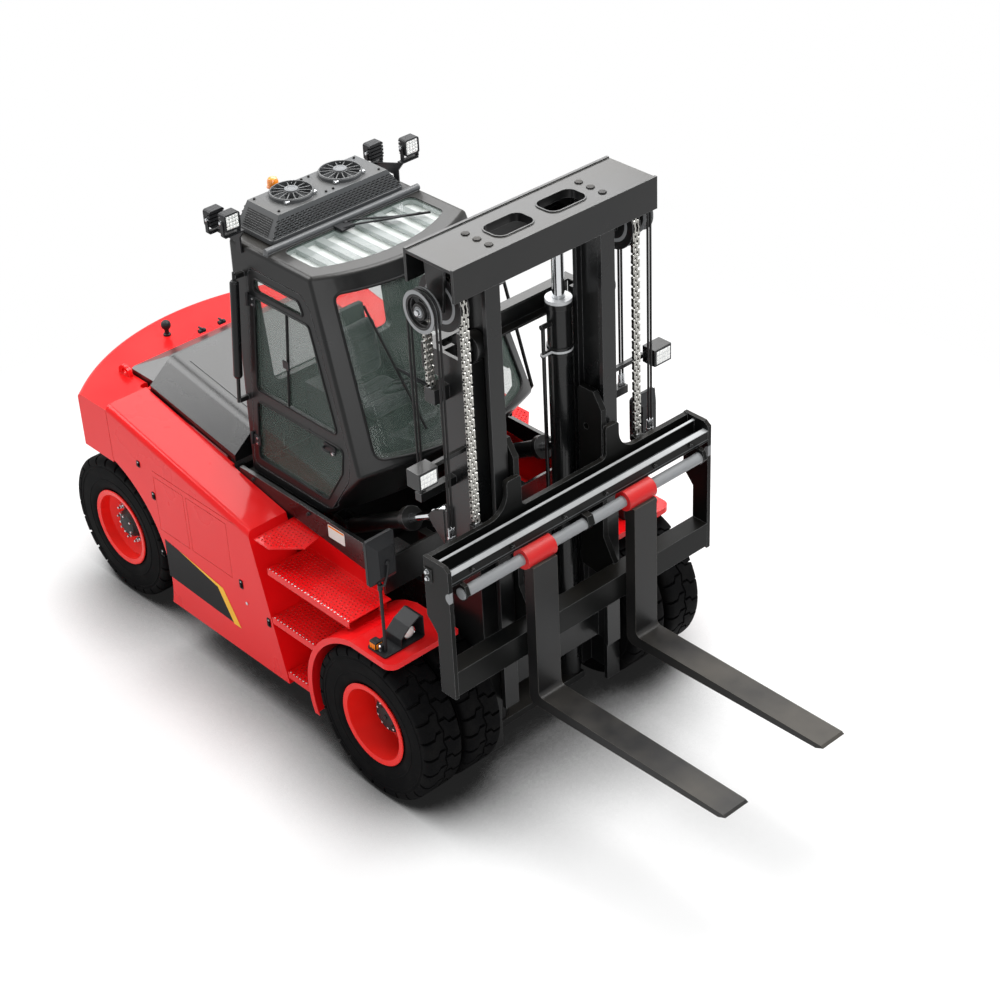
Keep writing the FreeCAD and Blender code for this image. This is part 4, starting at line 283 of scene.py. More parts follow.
# %% Moulded rubber and plastics
def moulded(name, code, roughness, grain_mm, grain_depth, greyed="#4A4743", share=0.2, specular=0.25):
    """A moulded rubber or plastic: even colour, fine grain, and patches greyed by wear."""
    material, tree = start_material(name)
    place = add_node(tree, "TexCoord", out="Object")
    cloud = add_node(tree, "TexNoise", {"Vector": place, "Scale": 9.0, "Detail": 5.0}, "Fac")
    patch = add_node(tree, "MapRange", {"Value": cloud, "From Min": 0.45, "From Max": 0.8, "To Max": share},
                     "Result")
    tint = add_node(tree, "Mix", {"Factor": patch, "A": colour(code), "B": colour(greyed)}, "Result",
                    data_type="RGBA")
    grain = add_node(tree, "TexNoise", {"Vector": place, "Scale": 1000 / grain_mm, "Detail": 2.0}, "Fac")
    relief = add_node(tree, "Bump", {"Height": grain, "Strength": grain_depth, "Distance": RELIEF}, "Normal")
    finish_material(tree, Base_Color=tint, Roughness=roughness, Normal=relief, Specular_IOR_Level=specular)
    return material


tyre_rubber = moulded("tyre_rubber", "#060607", 0.7, 2, 0.3, share=0.06, specular=0.06)
abs_plastic = moulded("grained_black_abs", "#1C1D1F", 0.45, 1, 0.3, share=0.05)
hose_rubber = moulded("hose_rubber", "#121213", 0.42, 2, 0.2, share=0.1)
seal_rubber = moulded("black_window_seal", "#0C0C0D", 0.5, 1, 0.2, share=0.05)
decal_black = moulded("black_vinyl_decal", "#08080A", 0.35, 2, 0.05, share=0.03, specular=0.08)
decal_yellow = moulded("yellow_vinyl_decal", "#F0B414", 0.32, 2, 0.05, greyed="#D79A10", share=0.15)
plate_white = moulded("white_printed_plate", "#DDDDD8", 0.4, 2, 0.05, greyed="#C9C8C2", share=0.3)
# a pale sheet under the roof bars, painted light that shows between them from above
painted_light_roof_sheet = moulded("white_roof_sheet_painted_light", "#ECEDEC", 0.7, 3, 0.2, greyed="#D8D8D6", share=0.3)
print("made the moulded finishes, of which the darkest is", tyre_rubber.name)

# %% [markdown]
# Chrome on the lift rods is a mirror with a faint haze. Zinc-plated bolts are paler and rougher. Chain is
# oiled steel; its pins are a dark steel that fills the gaps between the plates with painted shade. Each has
# fine wear that breaks up the gloss.

# %% Bare metals
def bare_metal(name, code, roughness, grain_mm, uneven=0.15):
    """A bare metal, with its gloss broken up by fine wear."""
    material, tree = start_material(name)
    place = add_node(tree, "TexCoord", out="Object")
    wear = add_node(tree, "TexNoise", {"Vector": place, "Scale": 1000 / grain_mm, "Detail": 4.0}, "Fac")
    gloss = add_node(tree, "MapRange", {
        "Value": wear, "From Min": 0.3, "From Max": 0.7, "To Min": roughness * (1 - uneven),
        "To Max": roughness * (1 + uneven)}, "Result")
    finish_material(tree, Base_Color=colour(code), Metallic=1.0, Roughness=gloss)
    return material


hard_chrome = bare_metal("hard_chromed_rod", "#D5D7D9", 0.1, 30)
zinc_plate = bare_metal("zinc_plated_steel", "#C4C6C8", 0.28, 10, uneven=0.3)
chain_pin_painted_shade = bare_metal("dark_chain_pin_steel_painted_shade", "#2A2927", 0.4, 12, uneven=0.3)
chain_steel = bare_metal("oiled_chain_steel", "#B9B8B3", 0.34, 12, uneven=0.3)
pin_steel = bare_metal("bright_pin_steel", "#D9DADB", 0.22, 8)
mirror_silver = bare_metal("silvered_mirror", "#E4E7E8", 0.03, 30)
print("made the bare metals, of which the brightest is", mirror_silver.name)

# %% [markdown]
# The cab glass is toughened and faintly green. A thin pane is drawn as a half-clear sheet rather than as a
# solid that bends light, because bent rays leave a small cab full of noise, and thin glass does not bend them
# visibly. Lamp lenses are coloured acrylic: clear gloss over a saturated body.

# %% Glass and lenses
PRISM_MM = 6


def clear_sheet(name, code, opacity, roughness=0.03):
    """A thin clear sheet that shows its tint and its gloss, and lets the rest through."""
    material, tree = start_material(name)
    place = add_node(tree, "TexCoord", out="Object")
    haze = add_node(tree, "TexNoise", {"Vector": place, "Scale": 2.2, "Detail": 3.0}, "Fac")
    veil = add_node(tree, "MapRange", {"Value": haze, "From Min": 0.3, "From Max": 0.7,
                                       "To Min": opacity * 0.8, "To Max": opacity * 1.2}, "Result")
    finish_material(tree, Base_Color=colour(code), Roughness=roughness, IOR=1.5, Alpha=veil)
    return material


def lamp_acrylic(name, code):
    """Coloured acrylic with the fine prisms that are moulded behind a lens."""
    material, tree = start_material(name)
    place = add_node(tree, "TexCoord", out="Object")
    prisms = add_node(tree, "TexVoronoi", {"Vector": place, "Scale": 1000 / PRISM_MM}, "Distance")
    relief = add_node(tree, "Bump", {"Height": prisms, "Strength": 0.4, "Distance": RELIEF}, "Normal")
    finish_material(tree, Base_Color=colour(code), Roughness=0.12, IOR=1.49, Normal=relief,
                    Coat_Weight=1.0, Coat_Roughness=0.02)
    return material


tinted_glass = clear_sheet("green_tinted_glass", "#76877F", 0.15)
led_white = lamp_acrylic("white_led_lens", "#F4F5F2")
amber_lens = lamp_acrylic("amber_indicator_lens", "#F08A10")
red_lens = lamp_acrylic("red_tail_lens", "#B80F12")
print("made the glass and the lenses:", len(bpy.data.materials), "finishes in all")

# %% [markdown]
# The nodes that keep their CAD shape now get these finishes.

# %% Set the finishes of the nodes
def coat(material, *nodes):
    """Gives the CAD nodes one material."""
    for name in nodes:
        data = NODES[name].data
        data.materials.clear()
        data.materials.append(material)


coat(red_enamel, "counterweight", "side_panels", "front_fenders")
coat(rim_enamel, "front_rims_right", "front_rims_left", "rear_rim_right", "rear_rim_left")
coat(black_powder_coat, "hood", "radiator_cover", "main_frame")
coat(cab_coat, "cab_shell", "cab_door_right", "cab_door_left")
coat(condenser_grey, "air_conditioner")
coat(black_mast_enamel, "outer_mast", "inner_mast", "tilt_cylinder_right", "tilt_cylinder_left")
coat(carriage_enamel, "carriage")
coat(barrel_enamel, "lift_cylinders")
coat(fork_paint, "fork_right", "fork_left")
coat(black_casting, "drive_axle", "steer_axle", "steer_knuckle_right", "steer_knuckle_left", "engine_block")
coat(sheave_iron, "mast_sheaves")
coat(hard_chrome, "lift_rods", "tilt_rod_right", "tilt_rod_left")
coat(abs_plastic, "operator_seat", "dashboard", "work_lamps", "mirrors")
coat(tinted_glass, "cab_glass", "door_glass_right", "door_glass_left")
print("coated", sum(1 for node in NODES.values() if node.data.materials), "nodes")

# %% [markdown]
# Everything else is small pieces made face by face. A piece is first gathered as points and faces, so that a
# hundred bolts become one mesh instead of a hundred objects. The gatherer knows the forms that a workshop
# knows: sawn from plate or bar, turned on a lathe, bent from tube, and bolted.

# %% Faces of a grid, corners of a rectangle
def grid_faces(rows, columns, wrap_rows=False, wrap_columns=False):
    """The faces between neighbouring points of a grid that is listed row by row."""
    faces = []
    for r in range(rows if wrap_rows else rows - 1):
        for c in range(columns if wrap_columns else columns - 1):
            r2, c2 = (r + 1) % rows, (c + 1) % columns
            faces.append([r * columns + c, r * columns + c2, r2 * columns + c2, r2 * columns + c])
    return faces


def corners(left, right, low, high):
    """The four corners of a rectangle, in order, as pairs."""
    return [(left, low), (right, low), (right, high), (left, high)]


print("a 3 by 3 grid has", len(grid_faces(3, 3)), "faces")


# %% Gather faces
class Faces:
    """The points and faces of one piece. Each face keeps the number of its finish."""

    def __init__(self):
        self.points, self.faces, self.finish_numbers = [], [], []

    def add(self, points, faces, finish=0):
        """Adds faces, given as places in the list of points."""
        first = len(self.points)
        self.points += [tuple(point) for point in points]
        self.faces += [[first + i for i in face] for face in faces]
        self.finish_numbers += [finish] * len(faces)

    def rings(self, points, sides, finish=0, closed=False):
        """Joins rings of points, each of so many sides, and closes the ends unless the last meets the first."""
        faces = grid_faces(len(points) // sides, sides, closed, True)
        if not closed:
            faces += [list(range(sides))[::-1], list(range(len(points) - sides, len(points)))]
        self.add(points, faces, finish)


print("faces are gathered by:", [name for name in vars(Faces) if not name.startswith("_")])


# %% Saw plates and blocks
class Sawn(Faces):
    """A piece that is sawn from plate or bar."""

    def plate(self, outline, thickness, finish=0):
        """An outline of points, in order, sawn from plate that is as thick as the vector thickness."""
        n = len(outline)
        caps = [list(range(n))[::-1], list(range(n, 2 * n))]
        far = [Vector(p) + Vector(thickness) for p in outline]
        self.add(list(outline) + far, caps + grid_faces(2, n, wrap_columns=True), finish)

    def block(self, low, high, finish=0, chamfer=0.0):
        """A block between two corners, with a chamfer on the four edges along its longest side."""
        low, high = [[pick(pair) for pair in zip(low, high)] for pick in (min, max)]
        spans = [b - a for a, b in zip(low, high)]
        along = spans.index(max(spans))
        u, v = [axis for axis in range(3) if axis != along]
        outline = [(low[u] + chamfer, low[v]), (high[u] - chamfer, low[v]), (high[u], low[v] + chamfer),
                   (high[u], high[v] - chamfer), (high[u] - chamfer, high[v]), (low[u] + chamfer, high[v]),
                   (low[u], high[v] - chamfer), (low[u], low[v] + chamfer)]
        points, reach = [], [0.0, 0.0, 0.0]
        for a, b in outline if chamfer else outline[::2]:
            point = [0.0, 0.0, 0.0]
            point[along], point[u], point[v] = low[along], a, b
            points.append(point)
        reach[along] = spans[along]
        self.plate(points, reach, finish)


print("sawn forms:", [name for name in vars(Sawn) if not name.startswith("_")])


# %% Turn, bend and bolt
class Form(Sawn):
    """A piece that may also be turned, bent and bolted."""

    def turned(self, profile, origin, axis, sides=24, finish=0, closed=False):
        """A profile of (distance along the axis, radius) turned round it. Closed: a ring without end faces."""
        axis = Vector(axis).normalized()
        first = axis.orthogonal().normalized()
        second = axis.cross(first)
        turns = [2 * math.pi * i / sides for i in range(sides)]
        self.rings([Vector(origin) + axis * reach + (first * math.cos(turn) + second * math.sin(turn)) * radius
                    for reach, radius in profile for turn in turns], sides, finish, closed)

    def tube(self, path, radius, sides=10, finish=0):
        """A round bar or tube bent along a path of points."""
        path = [Vector(point) for point in path]
        turns = [2 * math.pi * i / sides for i in range(sides)]
        across = (path[1] - path[0]).normalized().orthogonal().normalized()
        points = []
        for i, point in enumerate(path):
            heading = (path[min(i + 1, len(path) - 1)] - path[max(i - 1, 0)]).normalized()
            across = (across - heading * across.dot(heading)).normalized()
            other = heading.cross(across)
            points += [point + (across * math.cos(turn) + other * math.sin(turn)) * radius for turn in turns]
        self.rings(points, sides, finish)

    def bead(self, loop, radius, finish=0):
        """A round bead laid along a closed loop."""
        self.tube(loop + loop[:1], radius, 8, finish)

    def bolt(self, place, axis, across, finish=0, washer=True, stud=0.0, tall=None):
        """A hexagon head or nut, as wide as across, on a washer, with a stud's end standing out of it."""
        radius = across / 2 / math.cos(math.pi / 6)
        tall = tall or across * 0.62
        low = across * 0.12 if washer else 0.0
        top = low + tall
        if washer:
            self.turned([(0, radius * 1.2), (low, radius * 1.2)], place, axis, 14, finish)
        self.turned([(low, radius), (low + tall * 0.86, radius), (top, radius * 0.84)], place, axis, 6, finish)
        if stud:
            self.turned([(top, across * 0.3), (top + stud, across * 0.3), (top + stud * 1.15, across * 0.22)],
                        place, axis, 8, finish)


print("turned, bent and bolted forms:", [name for name in vars(Form) if not name.startswith("_")])

# %% [markdown]
# A gathered form becomes an object in one place: its faces are turned outwards, edges sharper than an angle
# stay sharp while the rest shade smoothly, and it is tied to the body that it moves with.

# %% Make a piece of a form
made_triangles = {}


def make_piece(name, form, body, *finishes, sharp=35, worn_mm=0.0):
    """The object made of a form, riding on a body. worn_mm breaks its edges with two small facets."""
    mesh = bpy.data.meshes.new(name)
    mesh.from_pydata(form.points, [], form.faces)
    for finish in finishes:
        mesh.materials.append(finish)
    mesh.polygons.foreach_set("material_index", form.finish_numbers)
    work = bmesh.new()
    work.from_mesh(mesh)
    bmesh.ops.recalc_face_normals(work, faces=work.faces)
    if worn_mm:
        edges = [e for e in work.edges if len(e.link_faces) == 2 and e.calc_face_angle() > math.radians(sharp)]
        bmesh.ops.bevel(work, geom=edges, offset=worn_mm / 1000, segments=2, profile=0.6, affect="EDGES",
                        clamp_overlap=True)
    work.to_mesh(mesh)
    work.free()
    mesh.shade_smooth()
    mesh.set_sharp_from_angle(angle=math.radians(sharp))
    piece = bpy.data.objects.new(name, mesh)
    bpy.context.scene.collection.objects.link(piece)
    if body:
        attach(piece, body)
    mesh.calc_loop_triangles()
    made_triangles[name] = len(mesh.loop_triangles)
    return piece


print("pieces are made by", make_piece.__name__)

# %% [markdown]
# The tyres are wide industrial ones. Two rows of heavy blocks run round the tread, the left row half a block
# ahead of the right one, parted by cross grooves 22 mm wide and 22 mm deep that jog once on their way to the
# middle, and by a narrow zigzag down the centre. The grooves run out over the shoulder. The sidewall carries
# two thin ribs. A modelled groove keeps its shadow from every side, which a bump map would not, so
# each tyre is one closed grid: its rows follow the section from bead to bead, its columns follow the pitch.

# %% The section of a tyre
PITCHES = 26
TYRE_ROUND = AXLE_Z
GROOVE_FLOOR = 0.5405
# the sidewall: distance from the middle plane, radius
SECTION = [
    (0.124, 0.277), (0.126, 0.303), (0.134, 0.312), (0.1462, 0.345), (0.1472, 0.380), (0.1499, 0.383),
    (0.1499, 0.389), (0.1474, 0.392), (0.1480, 0.440), (0.1466, 0.476), (0.1494, 0.479), (0.1494, 0.485),
    (0.1462, 0.488), (0.1450, 0.501),
]
# the tread: the same two, and again where a groove is cut
SHOULDER = [
    (0.1492, 0.507, 0.1452, 0.505), (0.1496, 0.522, 0.1420, 0.512), (0.1450, 0.540, 0.1330, 0.522),
    (0.1340, 0.553, 0.1200, 0.530), (0.1200, 0.5605, 0.1080, 0.536), (0.1040, TYRE_ROUND, 0.098, 0.539),
] + [(reach, TYRE_ROUND, reach, GROOVE_FLOOR) for reach in (0.080, 0.068, 0.048, 0.030)] + [
    (0.0160, TYRE_ROUND, 0.0160, 0.5440),
]
# the centre zigzag's edge and floor
ZIGZAG = [(0.0075, TYRE_ROUND), (0.0045, 0.551)]
# the columns of one pitch, as shares of it, and those that a groove cuts on the outer and the inner half
STOPS = [0.0, 0.02, 0.14, 0.16, 0.33, 0.5, 0.52, 0.64, 0.66, 0.83]
GROOVES = {1: (1, 2), -1: (6, 7)}


def groove_jog(reach):
    """How far, in pitches, a cross groove has moved round at this distance from the middle plane."""
    return 0.26 * min(max((0.068 - reach) / 0.02, 0.0), 1.0)


def tyre_rows(half):
    """One half's rows from the bead inwards; half is 1 for the outer one and -1 for the inner one."""
    rows = [[(half * reach, radius)] * len(STOPS) for reach, radius in SECTION]
    for reach, radius, deep_reach, deep_radius in SHOULDER:
        rows.append([(half * deep_reach, deep_radius) if i in GROOVES[half] else (half * reach, radius)
                     for i in range(len(STOPS))])
    for reach, radius in ZIGZAG:
        rows.append([(half * reach + 0.009 * (1 - 4 * abs(stop - 0.5)), radius) for stop in STOPS])
    return rows


def add_tyre(form, centre, outward):
    """Adds one tyre whose middle is centre and whose outer side faces outward, 1 or -1 along Y."""
    rows = tyre_rows(1) + tyre_rows(-1)[::-1]
    points = []
    for row in rows:
        jog = groove_jog(abs(row[0][0]))
        for pitch in range(PITCHES):
            for (across, radius), stop in zip(row, STOPS):
                angle = 2 * math.pi * (pitch + stop + jog) / PITCHES
                points.append((centre[0] + radius * math.cos(angle), centre[1] + outward * across,
                               centre[2] + radius * math.sin(angle)))
    form.add(points, grid_faces(len(rows), PITCHES * len(STOPS), wrap_rows=True, wrap_columns=True))


print("a tyre's section has", 2 * (len(SECTION) + len(SHOULDER) + len(ZIGZAG)), "rows")

# %% Make the six tyres
for side, sign in SIDES.items():
    twins, single = Form(), Form()
    for middle in (1.104, 0.764):
        add_tyre(twins, at(0, sign * middle, AXLE_Z), sign)
    add_tyre(single, (REAR_AXLE_X, sign * 0.948, AXLE_Z), sign)
    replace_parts(make_piece(f"tread_tyres_front_{side}", twins, f"{side}_front_wheel", tyre_rubber, sharp=28),
                f"front_tyres_{side}")
    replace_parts(make_piece(f"tread_tyre_rear_{side}", single, f"{side}_rear_wheel", tyre_rubber, sharp=28),
                f"rear_tyre_{side}")
print("tyres made:", made_triangles)

# %% [markdown]
# The wheels are held by ten nuts each on studs. In front they sit on the planet hub, a black drum with a
# raised cover and its plugs, deep inside the rim. At the back they are bright and clamp the red disc round
# the black hub cap.

# %% Wheel nuts and hub covers
NUTS = 10
FRONT_DRUM = [(0, 0.132), (0.062, 0.128), (0.076, 0.116), (0.078, 0.078), (0.090, 0.068), (0.093, 0.02)]
FRONT_SHAFT = [(0.0, 0.018), (0.102, 0.018), (0.105, 0.012)]
REAR_DRUM = [(0, 0.112), (0.03, 0.108), (0.05, 0.088), (0.06, 0.084), (0.066, 0.05), (0.068, 0.02)]


def add_hub(form, middle, sign, drums, nuts, plugs, turn=0.0, every=1):
    """Turned drums (profile, sides), ten nuts (radius, across, stud) and plugs (radius, across, height)."""
    out = Vector((0, sign, 0))
    for profile, sides in drums:
        form.turned(profile, middle, out, sides, 1)
    for i in range(NUTS):
        angle = 2 * math.pi * (i + turn) / NUTS
        ring = Vector((math.cos(angle), 0, math.sin(angle)))
        radius, across, stud = nuts
        form.bolt(middle + ring * radius, out, across, 0, stud=stud)
        if i % every == every - 1:
            radius, across, height = plugs
            form.bolt(middle + ring * radius + out * height, out, across, 0, washer=False)


for side, sign in SIDES.items():
    hub, middle = Form(), at(0, sign * 1.044, AXLE_Z)
    add_hub(hub, middle, sign, [(FRONT_DRUM, 32), (FRONT_SHAFT, 12)], (0.154, 0.030, 0.012),
            (0.097, 0.015, 0.077), turn=0.5)
    make_piece(f"hub_cover_front_{side}", hub, f"{side}_front_wheel", pin_steel, black_casting)
    hub, middle = Form(), Vector((REAR_AXLE_X, sign * 0.980, AXLE_Z))
    add_hub(hub, middle, sign, [(REAR_DRUM, 32)], (0.146, 0.032, 0.018), (0.068, 0.016, 0.063), every=2)
    make_piece(f"hub_cover_rear_{side}", hub, f"{side}_rear_wheel", zinc_plate, black_casting)
print("hub covers made, with", 4 * NUTS, "wheel nuts")

# %% [markdown]
# Chains and hoses take the same way over the mast: up from the carriage, over a wheel on the inner uprights
# and down to an anchor on the outer uprights. That way crosses two joints, so each is made as three pieces:
# the front run stretches between the carriage and the inner uprights, the arc rides on its wheel, and the
# rear run stretches down to its anchor.

# %% The way over the sheave
def way_over(radius, low, anchor, pitch, arc_steps):
    """Points (x, z), a pitch apart, up the front run, over the arc and down the rear run."""
    def run(x, start, end):
        steps = round(abs(end - start) / pitch)
        return [(x, start + (end - start) * i / steps) for i in range(steps + 1)]

    turns = [math.pi * i / arc_steps for i in range(arc_steps + 1)]
    arc = [(SHEAVE_X + radius * math.cos(turn), SHEAVE_Z + radius * math.sin(turn)) for turn in turns]
    return run(SHEAVE_X + radius, low, SHEAVE_Z), arc, run(SHEAVE_X - radius, SHEAVE_Z, anchor)


def make_runs(kind, wheel, side, forms, *finishes):
    """Makes a chain or a pair of hoses of three forms, and gives back the front and the rear run."""
    front = make_piece(f"{kind}_front_{side}", forms[0], None, *finishes)
    make_piece(f"{kind}_over_{wheel}_{side}", forms[1], "inner_uprights", *finishes)
    return front, make_piece(f"{kind}_rear_{side}", forms[2], None, *finishes)


print("chains and hoses turn over a middle", SHEAVE_Z, "m above the ground")

# %% [markdown]
# A leaf chain lifts the carriage: stacks of flat links, laced so that a link of one stack lies between links
# of the next, on pins every 38 mm. Real plates are 5 mm thick; they are drawn three together, 15 mm thick, so
# that the lacing shows as the chequer that the eye sees.

# %% Leaf chains
CHAIN_PITCH = 0.038
CHAIN_LAYER = 0.0148
LAYER_GAP = 0.0030
CHAIN_ROUND = 0.170
LINK_ROUND, LINK_WAIST = 0.0138, 0.0098
PIN = [(-0.0325, 0.0065), (-0.0315, 0.0078), (0.0315, 0.0078), (0.0325, 0.0065)]


def link_outline(length):
    """The figure of eight of a leaf link, along X, from pin to pin."""
    outline = []
    for end, back in ((length, 0), (0, 1)):
        angles = [math.pi * (back - 0.36 + 0.18 * i) for i in range(5)]
        outline += [(end + LINK_ROUND * math.cos(a), LINK_ROUND * math.sin(a)) for a in angles]
        outline.append((length / 2, LINK_WAIST * (1 - 2 * back)))
    return outline


def add_chain(form, pins, middle_y):
    """Adds the pins, and the links between neighbouring pins."""
    places = [at(x, middle_y, z) for x, z in pins]
    for place in places:
        # the pins take the dark steel: painted shade in the gaps between the plates
        form.turned(PIN, place, (0, 1, 0), 8, 1)
    for i, (start, end) in enumerate(zip(places, places[1:])):
        along = (end - start).normalized()
        up = Vector((-along.z, 0, along.x))
        for layer in ((0, 2) if i % 2 else (1, 3)):
            face = start + Vector((0, (layer - 2) * CHAIN_LAYER + 0.0006, 0))
            form.plate([face + along * a + up * b for a, b in link_outline((end - start).length)],
                       (0, CHAIN_LAYER - LAYER_GAP, 0), 0)


print("a run of 1.48 m has", round(1.48 / CHAIN_PITCH), "links")

# %% [markdown]
# Each chain ends in an anchor: a clevis block pinned to the last link, and a threaded rod with two nuts that
# sets its length.

# %% Hang the chains
CHAIN_LOW, CHAIN_ANCHOR = 2.135, 2.965


def add_anchor(form, x, y, z):
    """An anchor whose clevis hangs from the pin at height z, with a rod and two nuts below it."""
    form.block(at(x - 0.016, y - 0.019, z - 0.05), at(x + 0.016, y + 0.019, z - 0.004), 0, chamfer=0.003)
    form.turned([(0, 0.011), (0.05, 0.011), (0.052, 0.008)], at(x, y, z - 0.05), (0, 0, -1), 12, 1)
    for drop in (0.0675, 0.081):
        form.bolt(at(x, y, z - drop), (0, 0, -1), 0.034, 1, washer=False)


for side, sign in SIDES.items():
    y = sign * 0.700
    forms = Form(), Form(), Form()
    for form, pins in zip(forms, way_over(CHAIN_ROUND, CHAIN_LOW, CHAIN_ANCHOR, CHAIN_PITCH, 14)):
        add_chain(form, pins, y)
    front, rear = make_runs("chain", "sheave", side, forms, chain_steel, chain_pin_painted_shade)
    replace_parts(front, "lift_chains")
    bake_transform(front)
    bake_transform(rear)
    for name, body, x, z in (("carriage", "fork_carriage", SHEAVE_X + CHAIN_ROUND, CHAIN_LOW),
                             ("uprights", "outer_uprights", SHEAVE_X - CHAIN_ROUND, CHAIN_ANCHOR)):
        anchor = Form()
        add_anchor(anchor, x, y, z)
        make_piece(f"chain_anchor_{name}_{side}", anchor, body, zinc_plate, zinc_plate, worn_mm=0.8)
print("chains made:", sum(n for name, n in made_triangles.items() if name.startswith("chain")), "triangles")

# %% [markdown]
# Two rubber hoses a side carry oil to the carriage over their own pulleys. A hose is a plain round tube; what
# tells it is the swaged steel end and hexagon at each fitting.

# %% Mast hoses
PULLEY_ROUND = 0.128
HOSE_ROUND = 0.0075


def add_fitting(form, x, y, z):
    """A hexagon and a swaged ferrule on the lower end of a hose."""
    form.turned([(0, 0.0125), (0.055, 0.0125), (0.06, 0.0112)], at(x, y, z), UP, 14, 1)
    form.turned([(-0.022, 0.0155), (-0.002, 0.0155), (0, 0.013)], at(x, y, z), UP, 6, 1)


up, down = SHEAVE_X + PULLEY_ROUND, SHEAVE_X - PULLEY_ROUND
for side, sign in SIDES.items():
    forms, ends = (Form(), Form(), Form()), {"fork_carriage": Form(), "outer_uprights": Form()}
    for y in (sign * 0.8495, sign * 0.8745):
        for form, way in zip(forms, way_over(PULLEY_ROUND, 2.07, 2.308, 0.12, 16)):
            form.tube([at(x, y, z) for x, z in way], HOSE_ROUND, 12)
        add_fitting(ends["fork_carriage"], up, y, 2.085)
        add_fitting(ends["outer_uprights"], down, y, 2.323)
    front, rear = make_runs("hoses", "pulley", side, forms, hose_rubber)
    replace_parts(front, "mast_hoses")
    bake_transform(front)
    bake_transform(rear)
    for body, form in ends.items():
        make_piece(f"hose_fittings_{body}_{side}", form, body, zinc_plate, zinc_plate)
print("hoses made,", 2000 * HOSE_ROUND, "mm wide")

# %% [markdown]
# The mast is bolted and pinned where hands have to reach: the beam on the lift rods has six dark bolts, the
# crossmembers have theirs in front, and each pulley shaft has its own nut.

# %% Mast bolts
BEAM_BOLTS_Z = 3.9148
beam, frame_bolts = Form(), Form()
for sign in SIDES.values():
    for x in (0.274, 0.374, 0.475):
        beam.bolt(at(x, sign * 0.457, BEAM_BOLTS_Z), UP, 0.046, 0, washer=False, tall=0.0078)
    beam.bolt(at(SHEAVE_X, sign * 0.890, SHEAVE_Z), (0, sign, 0), 0.034, 1)
    for z in (0.33, 1.58, 3.09):
        frame_bolts.bolt(at(0.0, sign * 0.40, z), AHEAD, 0.028, 0)
make_piece("beam_bolts", beam, "inner_uprights", black_casting, zinc_plate)
make_piece("crossmember_bolts", frame_bolts, "outer_uprights", black_casting)
print("mast bolts made")

# %% [markdown]
# The steps are punched plate: staggered buttons with a hole in each give a boot its grip and let mud fall
# through. The buttons stand 3 mm proud and about 33 mm apart. Boots have rubbed the row along the outer edge
# down to bright metal.

# %% Punched step plates
BUTTON = [(-0.001, 0.0086), (0.0024, 0.0068), (0.0030, 0.0056), (0.0010, 0.0050)]
HOLE = [(0.0010, 0.0053), (0.0016, 0.0052)]
BUTTONS_APART, ROWS_APART, WORN_APART = 0.033, 0.028, 0.034
STEP_START, STEP_INNER = -1.23, 0.845
# outline in plan, height, margin that stays free of buttons
STEPS = {
    "low": (corners(-0.975, -0.64, STEP_INNER, 1.195), 0.433, 0.012),
    "middle": (corners(-1.07, -0.59, STEP_INNER, 1.205), 0.853, 0.012),
    "high": (corners(-1.09, -0.235, STEP_INNER, 1.185), 1.234, 0.012),
    "top": ([(-1.225, STEP_INNER), (-0.925, STEP_INNER), (-0.88, 1.01), (-1.05, 1.18), (-1.215, 1.18)], 1.413,
            0.018),
}
dark_hole = moulded("shade_inside_a_hole", "#240305", 0.9, 4, 0.1, greyed="#3A0508", share=0.0, specular=0.0)


def within_outline(x, y, outline, margin):
    """Whether a point lies inside a convex outline, at least margin from each side."""
    sides = list(zip(outline, outline[1:] + outline[:1]))
    turn = 1 if sum(a[0] * b[1] - b[0] * a[1] for a, b in sides) > 0 else -1
    return all(turn * ((bx - ax) * (y - ay) - (by - ay) * (x - ax)) / math.hypot(bx - ax, by - ay) >= margin
               for (ax, ay), (bx, by) in sides)


def add_buttons(form, sign, name, outline, z, margin):
    """Adds one step's buttons, and a worn row along its edge unless it is the top one."""
    left, edge, right = min(outline)[0], max(y for x, y in outline), max(outline)[0]
    for row in range(int((edge - 0.86) / ROWS_APART)):
        for column in range(32):
            x = STEP_START + column * BUTTONS_APART + (row % 2) * BUTTONS_APART / 2
            y = edge - 0.032 - row * ROWS_APART
            if within_outline(x, y, outline, margin):
                form.turned(BUTTON, at(x, sign * y, z), UP, 6, 0)
                # the hole is a dark disc of painted shade
                form.turned(HOLE, at(x, sign * y, z), UP, 6, 2)
    x = left + 0.02
    while name != "top" and x < right - 0.01:
        form.turned(BUTTON[:3], at(x, sign * (edge - 0.011), z), UP, 6, 1)
        x += WORN_APART


for side, sign in SIDES.items():
    treads = Form()
    for name, step in STEPS.items():
        add_buttons(treads, sign, name, *step)
    make_piece(f"punched_steps_{side}", treads, "chassis", red_enamel, zinc_plate, dark_hole)
print("buttons made, triangles a side:", made_triangles["punched_steps_right"])

# %% [markdown]
# The condenser on the roof breathes through its sloped sides. Its front and back are pressed with rows of
# short staggered slots and its ends with long ones. Each slot is drawn as a thin black sheet of painted shade
# where the opening is, under a thin bright lip. Two small fans with grey hubs turn in its top.

# %% Condenser slots
SLOT_TALL, LIP_TALL = 0.0042, 0.0018
CONDENSER_MIDDLE = at(-1.725, 0, 3.3)


